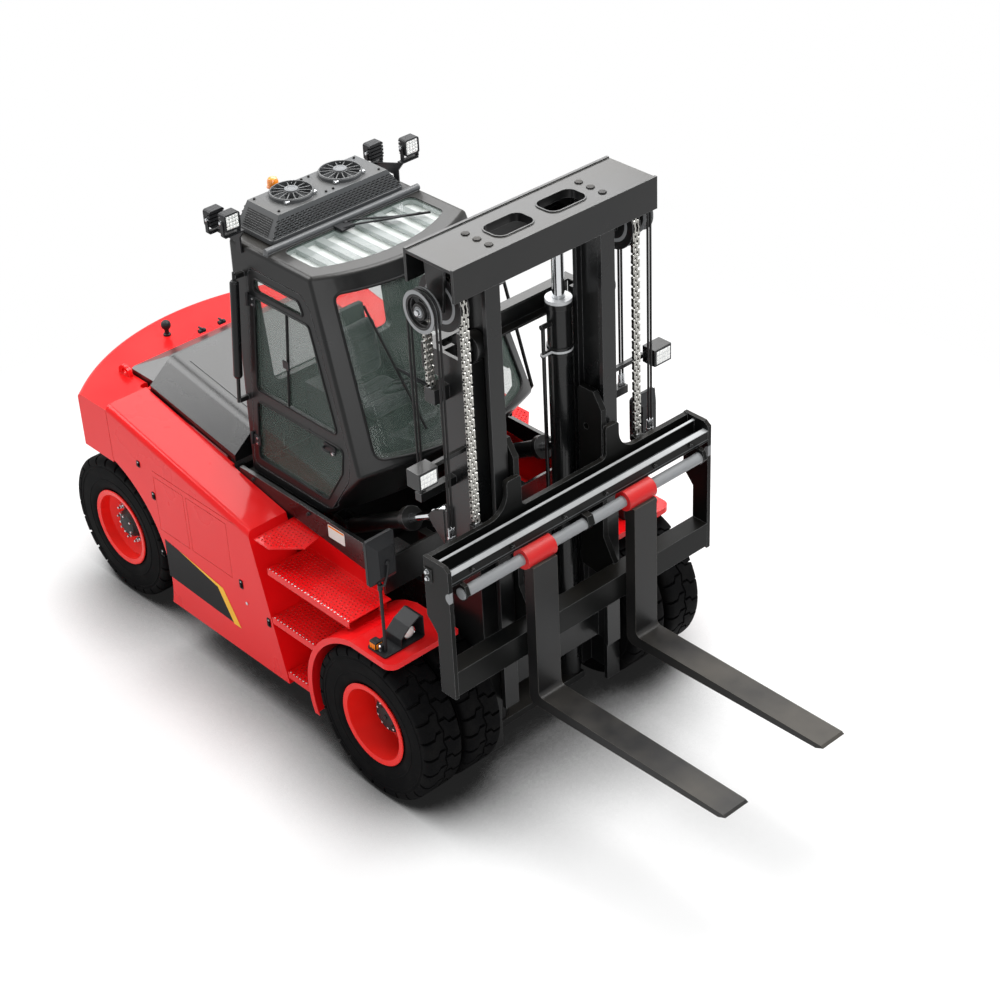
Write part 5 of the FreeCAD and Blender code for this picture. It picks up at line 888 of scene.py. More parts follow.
def add_slots(form, patch, rows, columns, length, stagger):
    """Slots on the flat patch between four points: low start, low end, high end, high start."""
    a, b, c, d = patch
    normal = (b - a).cross(d - a).normalized()
    if ((a + b + c + d) / 4 - CONDENSER_MIDDLE).dot(normal) < 0:
        normal = -normal
    half = length / 2
    inner = half - SLOT_TALL
    painted_shade_sheet = [(-half, 0), (-inner, -SLOT_TALL), (inner, -SLOT_TALL), (half, 0), (inner, SLOT_TALL),
               (-inner, SLOT_TALL)]
    lip = [(-inner, -SLOT_TALL), (inner, -SLOT_TALL), (inner, -SLOT_TALL - LIP_TALL),
           (-inner, -SLOT_TALL - LIP_TALL)]
    for row in range(rows):
        v = 0.12 + 0.62 * row / (rows - 1)
        left, right = a.lerp(d, v), b.lerp(c, v)
        along = (right - left).normalized()
        up = normal.cross(along)
        up = up if up.z > 0 else -up
        for column in range(columns):
            share = (column + 0.5 + (0.25 if row % 2 else -0.25) * stagger) / columns
            place = left + along * (right - left).length * share + normal * 0.0003
            # the slot's opening is a thin black sheet of painted shade; the lip is grey cover
            for outline, thickness, finish in ((painted_shade_sheet, 0.0006, 0), (lip, 0.0022, 1)):
                form.plate([place + along * u + up * w for u, w in outline], normal * thickness, finish)


print("the condenser's middle is", round(CONDENSER_MIDDLE.z, 2), "m above the ground")

# %% Condenser and its fans
# back, front, half width and height of the sloped sides, at their foot and at their crown
FOOT, CROWN = (-1.903, -1.520, 0.552, 3.27), (-1.889, -1.562, 0.455, 3.41)
FAN_HUB = [(0, 0.046), (0.004, 0.046), (0.007, 0.041), (0.007, 0.030), (0.004, 0.026), (0.004, 0.008)]
FAN_X, FAN_Y = -1.74, 0.205
BLADES = 3


def slope_point(level, end, side):
    """A corner of the sloped sides: FOOT or CROWN, end 0 for the back or 1 for the front, side -1 or 1."""
    return at(level[end], side * level[2], level[3])


fan_grey = moulded("grey_fan_hub", "#77797B", 0.5, 1, 0.2, share=0.1)
slots = Form()
for end in (1, 0):
    add_slots(slots, [slope_point(FOOT, end, -1), slope_point(FOOT, end, 1), slope_point(CROWN, end, 1),
                      slope_point(CROWN, end, -1)], 7, 24, 0.030, 1)
for sign in SIDES.values():
    add_slots(slots, [slope_point(FOOT, 0, sign), slope_point(FOOT, 1, sign), slope_point(CROWN, 1, sign),
                      slope_point(CROWN, 0, sign)], 8, 1, 0.27, 0)
    for x, y in ((-1.60, 0.42), (-1.86, 0.42), (-1.60, 0.03), (-1.86, 0.03)):
        slots.bolt(at(x, sign * y, 3.41), UP, 0.014, 0)
    slots.turned(FAN_HUB, at(FAN_X, sign * FAN_Y, 3.4485), UP, 24, 3)
    for i in range(BLADES):
        angle = math.radians(-50 + 95 * i)
        along, beside = 0.150 * math.cos(angle), 0.150 * math.sin(angle)
        slots.block(at(FAN_X, sign * FAN_Y, 3.415) + Vector((along - 0.014, beside - 0.014, 0)),
                    at(FAN_X, sign * FAN_Y, 3.433) + Vector((along + 0.014, beside + 0.014, 0)), 2, 0.003)
make_piece("condenser_slots", slots, "chassis", seal_rubber, condenser_grey, zinc_plate, fan_grey)
print("slots made:", made_triangles["condenser_slots"], "triangles")

# %% [markdown]
# Six work lamps: two each way on the roof posts and one on each side frame of the mast. The lens of an LED
# lamp is a clear sheet over a grid of small square reflectors, so each is built as a bright grid of shallow
# pyramids in a black bezel, with bright bolts where the body swings in its yoke.

# %% Work lamp lenses
def add_led_lens(form, centre, facing, half_wide, half_tall, columns, rows):
    """A lens of square reflectors whose middle is centre and which faces forward (1) or backward (-1)."""
    x, y, z = centre
    wide, tall = half_wide / columns * 0.86, half_tall / rows * 0.86
    form.block(at(x, y - half_wide, z - half_tall), at(x + facing * 0.003, y + half_wide, z + half_tall), 1)
    for i in range(columns):
        for k in range(rows):
            cy = y + half_wide * (2 * (i + 0.5) / columns - 1)
            cz = z + half_tall * (2 * (k + 0.5) / rows - 1)
            points = [at(x + facing * reach, cy + wide * a * share, cz + tall * b * share)
                      for reach, share in ((0.003, 1), (0.007, 0.45)) for a, b in corners(-1, 1, -1, 1)]
            form.add(points, [[4, 5, 6, 7], [0, 1, 5, 4], [1, 2, 6, 5], [2, 3, 7, 6], [3, 0, 4, 7]])


# x, y, z, facing of the lamps on the roof posts, and the x of their swing bolts
ROOF_LAMPS = [(-1.6485, 0.754, 3.446, 1, -1.685), (-1.9975, 0.674, 3.346, -1, -1.961)]
lamps, mast_lamps = Form(), Form()
for sign in SIDES.values():
    for x, y, z, facing, bolt_x in ROOF_LAMPS:
        add_led_lens(lamps, (x, sign * y, z), facing, 0.048, 0.048, 4, 4)
        for way in (-1, 1):
            lamps.bolt(at(bolt_x, sign * y + way * 0.0605, z), (0, way, 0), 0.020, 2)
    add_led_lens(mast_lamps, (0.4502, sign * 1.0, 2.56), 1, 0.062, 0.046, 5, 3)
make_piece("work_lamp_lenses", lamps, "chassis", led_white, hard_chrome, zinc_plate)
make_piece("mast_lamp_lenses", mast_lamps, "outer_uprights", led_white, hard_chrome)
print("lenses made for", 2 * len(ROOF_LAMPS) + 2, "lamps")

# %% [markdown]
# Headlights are round, with a chromed ring and a domed lens, under their bent hoods. The indicators at the
# mudguard's edge are amber behind a black bezel. The tail lamps sit in the counterweight's recesses: stop and
# tail in red, indicator in amber, reversing lamp in white. A small amber beacon stands behind the condenser.

# %% Road lamps
HEADLIGHT_RING = [(0, 0.050), (0.006, 0.050), (0.008, 0.047), (0.006, 0.043), (0.002, 0.043)]
HEADLIGHT_LENS = [(0, 0.043), (0.005, 0.041), (0.010, 0.034), (0.013, 0.022), (0.0145, 0.008)]
BEACON = [(0, 0.045), (0.012, 0.045), (0.012, 0.040), (0.045, 0.038), (0.062, 0.030), (0.070, 0.012)]
TAIL_LAMPS = [(0.695, 0.775, 3), (0.779, 0.835, 2), (0.839, 0.895, 0)]
road_lamps = Form()
for sign in SIDES.values():
    headlight = at(0.1352, sign * 0.997, 1.258)
    road_lamps.turned(HEADLIGHT_RING, headlight, AHEAD, 28, 1, closed=True)
    road_lamps.turned(HEADLIGHT_LENS, headlight, AHEAD, 28, 0)
    for i in range(3):
        x = 0.0215 + 0.0185 * i
        road_lamps.block(at(x, sign * 1.2252, 1.205), at(x + 0.016, sign * 1.2282, 1.243), 2, 0.0015)
    road_lamps.block(at(0.0782, sign * 1.171, 1.205), at(0.0812, sign * 1.219, 1.243), 2, 0.0015)
    for inner, outer, finish in TAIL_LAMPS:
        road_lamps.block(at(-3.412, sign * inner, 1.489), at(-3.396, sign * outer, 1.571), finish, 0.003)
road_lamps.turned(BEACON, at(-1.945, -0.20, 3.395), UP, 24, 2)
road_lamps.turned([(0, 0.010), (0.115, 0.010)], at(-1.945, -0.20, 3.285), UP, 10, 4)
make_piece("road_lamps", road_lamps, "chassis", led_white, hard_chrome, amber_lens, red_lens, abs_plastic)
print("road lamps made")

# %% [markdown]
# The window seals are extruded rubber beads clamped round each pane. They are tubes run round the pane's
# outline, which lies on the leaning flank of the cab, on its front arc or on its back.

# %% Outlines with rounded corners
def rounded_loop(outline, radius, steps=5):
    """The closed loop through the corners of an outline, each one rounded off."""
    loop = []
    outline = [Vector(corner) for corner in outline]
    for corner, last, following in zip(outline, outline[-1:] + outline, outline[1:] + outline[:1]):
        before, after = last - corner, following - corner
        reach = min(radius / math.tan(before.angle(after) / 2), 0.45 * before.length, 0.45 * after.length)
        start, end = corner + before.normalized() * reach, corner + after.normalized() * reach
        for k in range(steps + 1):
            t = k / steps
            loop.append(start * (1 - t) ** 2 + corner * 2 * t * (1 - t) + end * t ** 2)
    return loop


print("a rounded square has", len(rounded_loop([(x, y, 0) for x, y in corners(0, 1, 0, 1)], 0.1)), "points")

# %% Door seals
WAIST_Z = 1.575
DOOR_LIGHTS = [
    [(-1.605, 2.935), (-1.075, 2.935), (-1.135, 3.030), (-1.605, 3.030)],
    [(-1.605, 2.215), (-0.755, 2.215), (-1.035, 2.895), (-1.605, 2.895)],
    [(-1.605, 1.700), (-0.865, 1.700), (-0.715, 1.955), (-0.705, 2.135), (-1.605, 2.135)],
]


def on_flank(x, z, sign, out=0.0):
    """A point on the cab's flank, or out from it."""
    return at(x, sign * (0.800 - 0.0858 * (z - WAIST_Z) + out), z)


for side, sign in SIDES.items():
    seals = Form()
    for light in DOOR_LIGHTS:
        seals.bead(rounded_loop([on_flank(x, z, sign, 0.001) for x, z in light], 0.04), 0.007)
    # the sliding window's middle bar and its latch
    seals.tube([on_flank(-1.27, z, sign, -0.008) for z in (2.225, 2.885)], 0.010, 8)
    seals.block(on_flank(-1.30, 2.50, sign, 0.002), on_flank(-1.24, 2.56, sign, 0.016), 1, 0.002)
    make_piece(f"door_seals_{side}", seals, f"{side}_door", seal_rubber, abs_plastic)
print("door seals made round", len(DOOR_LIGHTS), "panes a side")

# %% [markdown]
# Each door hangs on two hinges at its rear edge and has a pull handle with a lock below its end.

# %% Door hardware
for side, sign in SIDES.items():
    hardware = Form()
    for z in (1.83, 2.86):
        hardware.tube([on_flank(-1.668, z + dz, sign, 0.010) for dz in (-0.045, 0.045)], 0.011, 12)
        hardware.plate([on_flank(x, z + dz, sign, 0.0005) for x, dz in corners(-1.655, -1.585, -0.035, 0.035)],
                       (0, sign * 0.006, 0))
        for dz in (-0.02, 0.02):
            hardware.bolt(on_flank(-1.61, z + dz, sign, 0.006), (0, sign, 0), 0.016, 1, washer=False)
    hardware.plate(rounded_loop([on_flank(x, z, sign, 0.0005) for x, z in corners(-0.90, -0.775, 2.065, 2.125)],
                                0.014), (0, sign * 0.009, 0))
    hardware.tube([on_flank(x, 2.095, sign, out) for x, out in
                   ((-0.885, 0.008), (-0.875, 0.034), (-0.83, 0.040), (-0.80, 0.034))], 0.009, 10)
    hardware.turned([(0, 0.012), (0.012, 0.012), (0.014, 0.009)], on_flank(-0.795, 2.078, sign, 0.008),
                    (0, sign, 0), 16, 1)
    make_piece(f"door_hardware_{side}", hardware, f"{side}_door", abs_plastic, zinc_plate, worn_mm=0.6)
print("door hardware made")

# %% [markdown]
# Three wipers clear the cab's glass: pairs of parallel arms on the roof pane and on the windscreen, and a
# single arm on the rear pane. An arm is a bent steel bar; the blade is a rubber edge held by small yokes.

# %% Roof wiper
def add_wiper(form, pivots, tip, blade, normal):
    """Arms from their pivots to one tip, with the motor's cap on the first, and a blade between two points."""
    normal = Vector(normal)
    form.turned([(0, 0.020), (0.022, 0.018), (0.026, 0.012)], pivots[0], normal, 16)
    for pivot in pivots:
        lift = pivot.lerp(tip, 0.15) + normal * 0.030
        form.tube([pivot + normal * 0.018, lift, tip + normal * 0.024], 0.0075, 6)
    low, high = blade
    form.tube([low + normal * 0.012, low.lerp(high, 0.5) + normal * 0.016, high + normal * 0.012], 0.009, 6, 1)
    for share in (0.2, 0.5, 0.8):
        place = low.lerp(high, share) + normal * 0.018
        form.turned([(-0.012, 0.009), (0.012, 0.009)], place, high - low, 8)


ROOF_PANE_Z = 3.226
wipers = Form()
pivots = [at(-1.435, -0.02, ROOF_PANE_Z), at(-1.375, -0.085, ROOF_PANE_Z)]
blade = (at(-1.31, 0.12, ROOF_PANE_Z), at(-1.14, 0.46, ROOF_PANE_Z))
add_wiper(wipers, pivots, at(-1.20, 0.30, ROOF_PANE_Z), blade, UP)
wipers.block(at(-1.45, -0.11, 3.224), at(-1.36, 0.0, 3.245), 0, 0.006)
make_piece("roof_wiper", wipers, "chassis", abs_plastic, seal_rubber)
print("roof wiper made")

# %% [markdown]
# The side panels carry black catches and one round lock, and the truck's only decoration: a black patch,
# with a yellow edge that is thin along its top and broad down its slanted front. It is vinyl, so it lies
# almost flush. Letters and numbers stay off it.

# %% Catches and the side patch
PANEL_Y = 1.2002
# x and z of the middle, and height
CATCHES = [(-2.510, 1.434, 0.05), (-2.369, 1.231, 0.06), (-2.360, 0.748, 0.05), (-1.402, 0.956, 0.07),
           (-1.123, 0.777, 0.07)]
PATCH = [(-2.31, 0.892), (-2.145, 0.872), (-1.65, 0.785), (-1.494, 0.546), (-2.31, 0.574)]
STRIPES = [[(-2.145, 0.874), (-1.702, 0.784), (-1.638, 0.802)],
           [(-1.702, 0.784), (-1.638, 0.802), (-1.472, 0.542), (-1.552, 0.542)]]
for side, sign in SIDES.items():
    fittings = Form()
    out = (0, sign, 0)
    for x, z, tall in CATCHES:
        rim = [at(x + dx, sign * PANEL_Y, z + dz) for dx, dz in corners(-0.019, 0.019, -tall / 2, tall / 2)]
        fittings.plate(rounded_loop(rim, 0.008, 3), (0, sign * 0.004, 0))
        fittings.block(at(x - 0.011, sign * 1.204, z - tall * 0.32),
                       at(x + 0.011, sign * 1.211, z + tall * 0.10), 0, 0.002)
        fittings.turned([(0, 0.006), (0.002, 0.006)], at(x, sign * 1.204, z + tall * 0.3), out, 10, 1)
    fittings.turned([(0, 0.012), (0.005, 0.012), (0.006, 0.008)], at(-1.362, sign * PANEL_Y, 0.815), out, 16, 1)
    fittings.plate([at(x, sign * PANEL_Y, z) for x, z in PATCH], (0, sign * 0.0008, 0))
    for stripe in STRIPES:
        fittings.plate([at(x, sign * 1.2011, z) for x, z in stripe], (0, sign * 0.0006, 0), 2)
    make_piece(f"side_fittings_{side}", fittings, "chassis", decal_black, zinc_plate, decal_yellow)
print("catches made a side:", len(CATCHES))

# %% [markdown]
# Each mirror has its glass on the side that faces the driver and a clamp arm that runs up from the pole. Its
# body is CAD; the glass is a silvered sheet set back from the rim.

# %% Mirror glass and clamps
CLAMP_ARM = [(0.122, 1.18, 1.70), (0.168, 1.178, 1.735), (0.190, 1.168, 1.82), (0.193, 1.158, 1.885),
             (0.180, 1.152, 1.91)]
mirror_parts = Form()
for sign in SIDES.values():
    pane = [at(0.0995, sign * y, z) for y, z in corners(1.054, 1.251, 1.744, 2.056)]
    mirror_parts.plate(rounded_loop(pane, 0.03), (-0.002, 0, 0))
    mirror_parts.tube([at(x, sign * y, z) for x, y, z in CLAMP_ARM], 0.008, 10, 1)
    mirror_parts.turned([(-0.014, 0.018), (0.010, 0.018), (0.016, 0.010)], at(0.176, sign * 1.152, 1.90), AHEAD,
                        16, 1)
    mirror_parts.turned([(0, 0.017), (0.045, 0.017)], at(0.122, sign * 1.18, 1.675), UP, 14, 1)
    for z in (1.205, 1.235):
        mirror_parts.bolt(at(0.100, sign * 1.205, z), (0, sign, 0), 0.016, 2, washer=False)
make_piece("mirror_glass_and_clamps", mirror_parts, "chassis", mirror_silver, abs_plastic, zinc_plate)
print("mirror parts made")

# %% [markdown]
# The counterweight carries what the yard needs: the ball-shaped breather cap, three catches on the radiator
# cover, and a pair of bolts beside each lifting eye.

# %% Fittings on the rear deck
BREATHER = [(0, 0.028), (0.012, 0.028), (0.016, 0.018), (0.050, 0.016), (0.056, 0.026), (0.070, 0.035),
            (0.088, 0.038), (0.106, 0.033), (0.118, 0.020), (0.122, 0.006)]
DECK_Z = 1.735
deck = Form()
deck.turned(BREATHER, at(-3.40, -0.27, DECK_Z), UP, 20)
for y in (-0.13, 0.05, 0.5):
    deck.block(at(-3.160, y - 0.028, 1.800), at(-3.128, y + 0.028, 1.826), 0, 0.004)
    deck.block(at(-3.180, y - 0.008, 1.822), at(-3.128, y + 0.008, 1.836), 0, 0.003)
for sign in SIDES.values():
    for x in (-2.98, -3.08):
        deck.bolt(at(x, sign * 0.72, DECK_Z), UP, 0.030, 1)
make_piece("rear_deck_fittings", deck, "chassis", abs_plastic, black_casting)
print("rear deck fittings made")

# %% [markdown]
# The windscreen bows forward in plan and leans back, so its seal is laid on the same curved front that the
# cab has: an arc of 1.2 m radius that moves back 0.444 m for each metre of height. The rear pane is flat.

# %% Seals and wipers of the front and rear panes
SCREEN_RADIUS = 1.2
SCREEN_LEAN = 0.444
SCREEN_NORMAL, BACK_NORMAL = (0.914, 0, 0.406), (-0.995, 0, -0.1)


def screen_x(y, z):
    """How far ahead of the front axle the windscreen is."""
    return -0.454 - SCREEN_LEAN * (z - WAIST_Z) + math.sqrt(SCREEN_RADIUS ** 2 - y * y) - 0.8369


def on_screen(y, z, out=0.0):
    """A point on the windscreen, or out from it."""
    return at(screen_x(y, z) + out, y, z)


def on_back(y, z, out=0.0):
    """A point on the rear wall, or out from it."""
    return at(-1.706 - 0.102 * (z - WAIST_Z) - out, y, z)


def close_points(loop, longest):
    """The closed loop with points added so that none lie further apart than longest."""
    points = []
    for a, b in zip(loop, loop[1:] + loop[:1]):
        steps = max(1, math.ceil((b - a).length / longest))
        points += [a.lerp(b, i / steps) for i in range(steps)]
    return points


glazing = Form()
outline = [(-0.650, 2.095, 0), (0.650, 2.095, 0), (0.562, 3.118, 0), (-0.562, 3.118, 0)]
glazing.bead([on_screen(p.x, p.y, 0.003) for p in close_points(rounded_loop(outline, 0.06), 0.08)], 0.009)
glazing.bead(rounded_loop([on_back(y, z, 0.003) for y, z in corners(-0.52, 0.52, 2.135, 3.04)], 0.05), 0.008)
make_piece("pane_seals", glazing, "chassis", seal_rubber)
wipers = Form()
add_wiper(wipers, [on_screen(0.10, 2.14, 0.004), on_screen(0.17, 2.14, 0.004)], on_screen(-0.36, 2.62, 0.004),
          (on_screen(-0.30, 2.22, 0.002), on_screen(-0.42, 3.02, 0.002)), SCREEN_NORMAL)
add_wiper(wipers, [on_back(0.0, 2.17, 0.002)], on_back(-0.16, 2.55, 0.002),
          (on_back(-0.10, 2.30, 0.002), on_back(-0.22, 2.80, 0.002)), BACK_NORMAL)
make_piece("pane_wipers", wipers, "chassis", abs_plastic, seal_rubber)
print("front and rear panes have their seals and wipers")

# %% [markdown]
# A pale sheet is drawn under the roof's guard bars. It is painted light: from above it shows bright between the
# bars. It is one thin sheet with a slight sag.

# %% Roof sheet of painted light
COLUMNS, ROWS = 25, 9
SHEET_BACK, SHEET_HALF, SHEET_Z = -1.44, 0.575, 3.174
SAG = 0.006
points = []
for layer in (0.0, -0.002):
    for row in range(ROWS):
        share = row / (ROWS - 1)
        for column in range(COLUMNS):
            y = SHEET_HALF * (2 * column / (COLUMNS - 1) - 1)
            front = screen_x(y, 3.175) - 0.05
            points.append(at(SHEET_BACK + (front - SHEET_BACK) * share, y,
                             SHEET_Z - SAG * math.sin(math.pi * share) + layer))
faces = grid_faces(ROWS, COLUMNS)
painted_light_sheet = Form()
painted_light_sheet.add(points, faces + [[i + ROWS * COLUMNS for i in face[::-1]] for face in faces])
make_piece("roof_sheet_painted_light", painted_light_sheet, "chassis", painted_light_roof_sheet)
print("blind laid under the roof bars")

# %% [markdown]
# In the cab, the side console carries four levers with ball knobs and a small display. The wheel has a spinner
# knob for turning with one hand. Two pedals stand at the foot of the console.

# %% Driver's controls
CONSOLE_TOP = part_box("dashboard")[0].z + 0.56
LEVERS, LEVERS_APART = 4, 0.075
BOOT = [(0, 0.024), (0.012, 0.022), (0.03, 0.012), (0.034, 0.006)]
KNOB = [(-0.018, 0.008), (-0.012, 0.016), (0.0, 0.020), (0.012, 0.016), (0.018, 0.007)]
HORN = [(0, 0.045), (0.012, 0.042), (0.018, 0.030), (0.020, 0.010)]
SPINNER = [(0.012, 0.010), (0.030, 0.012), (0.040, 0.022), (0.060, 0.024), (0.072, 0.016)]
COLUMN_AXIS = (-0.4226, 0, 0.9063)
controls = Form()
for i in range(LEVERS):
    foot = at(-1.13 - LEVERS_APART * i, -0.365, CONSOLE_TOP)
    knob = foot + Vector((0.03, 0.0, 0.13))
    controls.turned(BOOT, foot, UP, 14)
    controls.tube([foot, foot.lerp(knob, 0.6) + Vector((0.004, 0, 0)), knob], 0.005, 8, 1)
    controls.turned(KNOB, knob, UP, 14)
controls.block(at(-0.72, -0.20, 1.985), at(-0.66, 0.02, 2.09), 0, 0.008)
controls.block(at(-0.7215, -0.185, 2.0), at(-0.7195, 0.005, 2.078), 2)
wheel_middle = at(-0.9395, 0.0, 2.194)
controls.turned(HORN, wheel_middle, COLUMN_AXIS, 20)
controls.turned(SPINNER, wheel_middle + Vector((-0.12, 0.125, -0.056)), COLUMN_AXIS, 14)
for y in (-0.14, 0.14):
    pad = [at(-0.90 + (z - 1.70) / 2, y + dy, z) for dy, z in corners(-0.045, 0.045, 1.70, 1.80)]
    controls.plate(pad, (-0.010, 0, 0.005))
    controls.tube([at(-0.875, y, 1.75), at(-0.83, y, 1.76), at(-0.80, y, 1.72)], 0.008, 8, 1)
make_piece("driver_controls", controls, "chassis", abs_plastic, zinc_plate, mirror_silver, worn_mm=0.5)
print("levers, display, wheel hub and pedals made")

# %% [markdown]
# The seat is foam under woven cloth: a cushion and a back, each a crowned pad with three sewn channels. Its
# weave is drawn by two crossed waves, 3 mm apart, twice as coarse as the real one so that it shows.

# %% Seat cloth
def woven(name, code, thread_mm):
    """A plain weave: crossed threads, a soft sheen at grazing angles, and slightly uneven dye."""
    material, tree = start_material(name)
    place = add_node(tree, "TexCoord", out="Object")
    dye = add_node(tree, "TexNoise", {"Vector": place, "Scale": 14.0, "Detail": 3.0}, "Fac")
    tint = add_node(tree, "MapRange", {"Value": dye, "From Min": 0.3, "From Max": 0.7, "To Min": 0.7,
                                       "To Max": 1.3}, "Result")
    cloth = add_node(tree, "Mix", {"Factor": 1.0, "A": colour(code), "B": tint}, "Result", data_type="RGBA",
                     blend_type="MULTIPLY")
    warp, weft = [add_node(tree, "TexWave", {"Vector": place, "Scale": 1000 / thread_mm / 6.3}, "Fac",
                           bands_direction=way) for way in "XY"]
    threads = add_node(tree, "Math", {0: warp, 1: weft}, "Value", operation="MULTIPLY")
    relief = add_node(tree, "Bump", {"Height": threads, "Strength": 0.5, "Distance": RELIEF}, "Normal")
    finish_material(tree, Base_Color=cloth, Roughness=0.9, Sheen_Weight=0.3, Normal=relief)
    return material


seat_cloth = woven("woven_grey_seat_cloth", "#3A3B3E", 3)
print("made", seat_cloth.name)

# %% [markdown]
# Foam is stuffed until it pushes its cover out, and that is what the cloth simulation does: a slightly small
# pad is blown up from inside while its cloth holds it. Nothing moves further than 14 mm. The three channels
# are sewn in afterwards.

# %% Stuff a pad and sew its channels
VOXEL = 0.008
PRESSURE = 4
LAST_FRAME = 20
FURTHEST = 0.014
CHANNELS = (-0.45, 0.0, 0.45)
CHANNEL_DEPTH, CHANNEL_WIDTH = 0.006, 0.007


def apply_modifiers(piece):
    """Makes the piece's modifiers part of its mesh."""
    depsgraph = bpy.context.evaluated_depsgraph_get()
    mesh = bpy.data.meshes.new_from_object(piece.evaluated_get(depsgraph))
    piece.modifiers.clear()
    piece.data = mesh


def stuff(pad):
    """Blows the pad up from inside while its cloth holds it, then smooths it."""
    remesh = pad.modifiers.new("even_mesh", "REMESH")
    remesh.mode, remesh.voxel_size = "VOXEL", VOXEL
    apply_modifiers(pad)
    flat = [vertex.co.copy() for vertex in pad.data.vertices]
    cloth = pad.modifiers.new("cover", "CLOTH")
    cloth.settings.use_pressure, cloth.settings.uniform_pressure_force = True, PRESSURE
    cloth.settings.effector_weights.gravity = 0
    for frame_number in range(1, LAST_FRAME + 1):
        bpy.context.scene.frame_set(frame_number)
    apply_modifiers(pad)
    bpy.context.scene.frame_set(1)
    for vertex, start in zip(pad.data.vertices, flat):
        moved = vertex.co - start
        vertex.co = start + moved * min(1.0, FURTHEST / max(moved.length, 1e-6))
    smooth = pad.modifiers.new("smooth", "SUBSURF")
    smooth.levels = smooth.render_levels = 1
    apply_modifiers(pad)


def sew(pad, half):
    """Presses the sewn channels into the upper face."""
    for vertex in pad.data.vertices:
        x, y, z = vertex.co
        if z > 0.2 * half[2]:
            seams = sum(math.exp(-((x - share * half[0]) / CHANNEL_WIDTH) ** 2) for share in CHANNELS)
            vertex.co.z -= CHANNEL_DEPTH * min(seams, 1.0) * max(0.0, 1 - (y / half[1]) ** 4)


print("a pad is stuffed in", LAST_FRAME, "frames")


# %% Make the seat pads
def stuffed_pad(name, centre, half, lean, body):
    """A pad whose middle is centre, half as wide in each direction as half, leaning back by lean degrees."""
    form, points = Form(), []
    for level, shrink in ((-1, 0.94), (-0.5, 1.0), (0.5, 1.0), (1, 0.94)):
        wide, deep = half[0] * shrink, half[1] * shrink
        ring = rounded_loop([(x, y, 0) for x, y in corners(-wide, wide, -deep, deep)], 0.06)
        points += [p + Vector((0, 0, level * half[2])) for p in ring]
    form.rings(points, len(ring))
    pad = make_piece(name, form, None, seat_cloth, sharp=180)
    stuff(pad)
    sew(pad, half)
    pad.data.transform(Matrix.Translation(centre) @ Matrix.Rotation(math.radians(-lean), 4, "Y"))
    pad.data.shade_smooth()
    pad.data.calc_loop_triangles()
    made_triangles[name] = len(pad.data.loop_triangles)
    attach(pad, body)
    return pad


SEAT_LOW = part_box("seat_cushion")[0].z
cushion = stuffed_pad("seat_pad", at(-1.265, 0, SEAT_LOW + 0.054), (0.195, 0.212, 0.038), 2, "chassis")
backrest = stuffed_pad("back_pad", at(-1.500, 0, SEAT_LOW + 0.315), (0.205, 0.212, 0.036), -82, "chassis")
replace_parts(cushion, "seat_cushion")
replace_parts(backrest, "seat_cushion")
print("pads stuffed:", made_triangles["seat_pad"], made_triangles["back_pad"], "triangles")

# %% [markdown]
# On the left side, where the driver climbs in, a bent rail runs up the front pillar. It is one bar, bent out
# at the waist of the cab, with a short leg and a welded foot at each end and a thinner stay at the waist.

# %% Grab rail
BAR = [(-0.829, 2.698), (-0.770, 2.520), (-0.591, 1.985), (-0.650, 1.900), (-0.829, 1.677)]
BAR_Y = 0.800
feet = [on_flank(x, z, 1) for x, z in (BAR[0], BAR[-1])]
bends = [at(x, BAR_Y, z) for x, z in BAR]
rail = Form()
rail.tube(feet[:1] + bends + feet[1:], 0.0125, 12)
rail.tube([on_flank(-0.70, 2.02, 1), at(-0.61, BAR_Y, 2.02)], 0.009, 10)
for place in feet:
    rail.turned([(-0.002, 0.030), (0.005, 0.030), (0.007, 0.026)], place, (0, 1, 0.086), 16)
make_piece("grab_rail", rail, "chassis", cab_coat, worn_mm=1.0)
print("grab rail", round(sum((b - a).length for a, b in zip(bends, bends[1:])), 2), "m long")

# %% [markdown]
# The last pieces are small: the blank plates on the side bands, the bolts on the carriage's end plates, and
# the hood's two knobs.

# %% Blank plates and carriage bolts
BAND_Y, END_PLATE_Y = 0.8652, 1.153
signs, carriage_bolts = Form(), Form()
for sign in SIDES.values():
    out = (0, sign, 0)
    plate = [at(x, sign * BAND_Y, z) for x, z in corners(-0.80, -0.63, 1.475, 1.575)]
    strip = [at(x, sign * 0.8664, z) for x, z in corners(-0.795, -0.635, 1.556, 1.570)]
    signs.plate(rounded_loop(plate, 0.008, 2), (0, sign * 0.001, 0))
    signs.plate(strip, (0, sign * 0.0004, 0), 1)
    for x in (-1.6, -1.0, -0.42):
        signs.bolt(at(x, sign * BAND_Y, 1.56), out, 0.022, 2)
    carriage_bolts.block(at(0.530, sign * 1.1452, 1.955), at(0.600, sign * END_PLATE_Y, 2.045), 1, 0.003)
    for z in (1.975, 2.025):
        carriage_bolts.bolt(at(0.565, sign * END_PLATE_Y, z), out, 0.024, 0)
    for y in (0.18, 0.62, 0.95):
        carriage_bolts.bolt(at(0.739, sign * y, 2.02), AHEAD, 0.026, 1, washer=False)
make_piece("side_plates", signs, "chassis", plate_white, amber_lens, black_casting)
make_piece("carriage_bolts", carriage_bolts, "fork_carriage", zinc_plate, carriage_enamel)
print("blank plates and carriage bolts made")


# %% Hood knobs
def on_top(node, x, y):
    """The point of a CAD node's top above a place, found by looking down on it."""
    start = at(x, y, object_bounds()[1][2] + 1)
    found, place = NODES[node].ray_cast(start, Vector((0, 0, -1)))[:2]
    return place if found else None


hood_parts = Form()
for sign in SIDES.values():
    place = on_top("hood", -2.12, sign * 0.46)
    hood_parts.turned([(-0.002, 0.022), (0.010, 0.022), (0.014, 0.014), (0.030, 0.016), (0.036, 0.010)], place,
                      UP, 16)
    print("hood knob on", [round(c, 3) for c in place])
make_piece("hood_knobs", hood_parts, "engine_hood", abs_plastic)
print("hood knobs made")

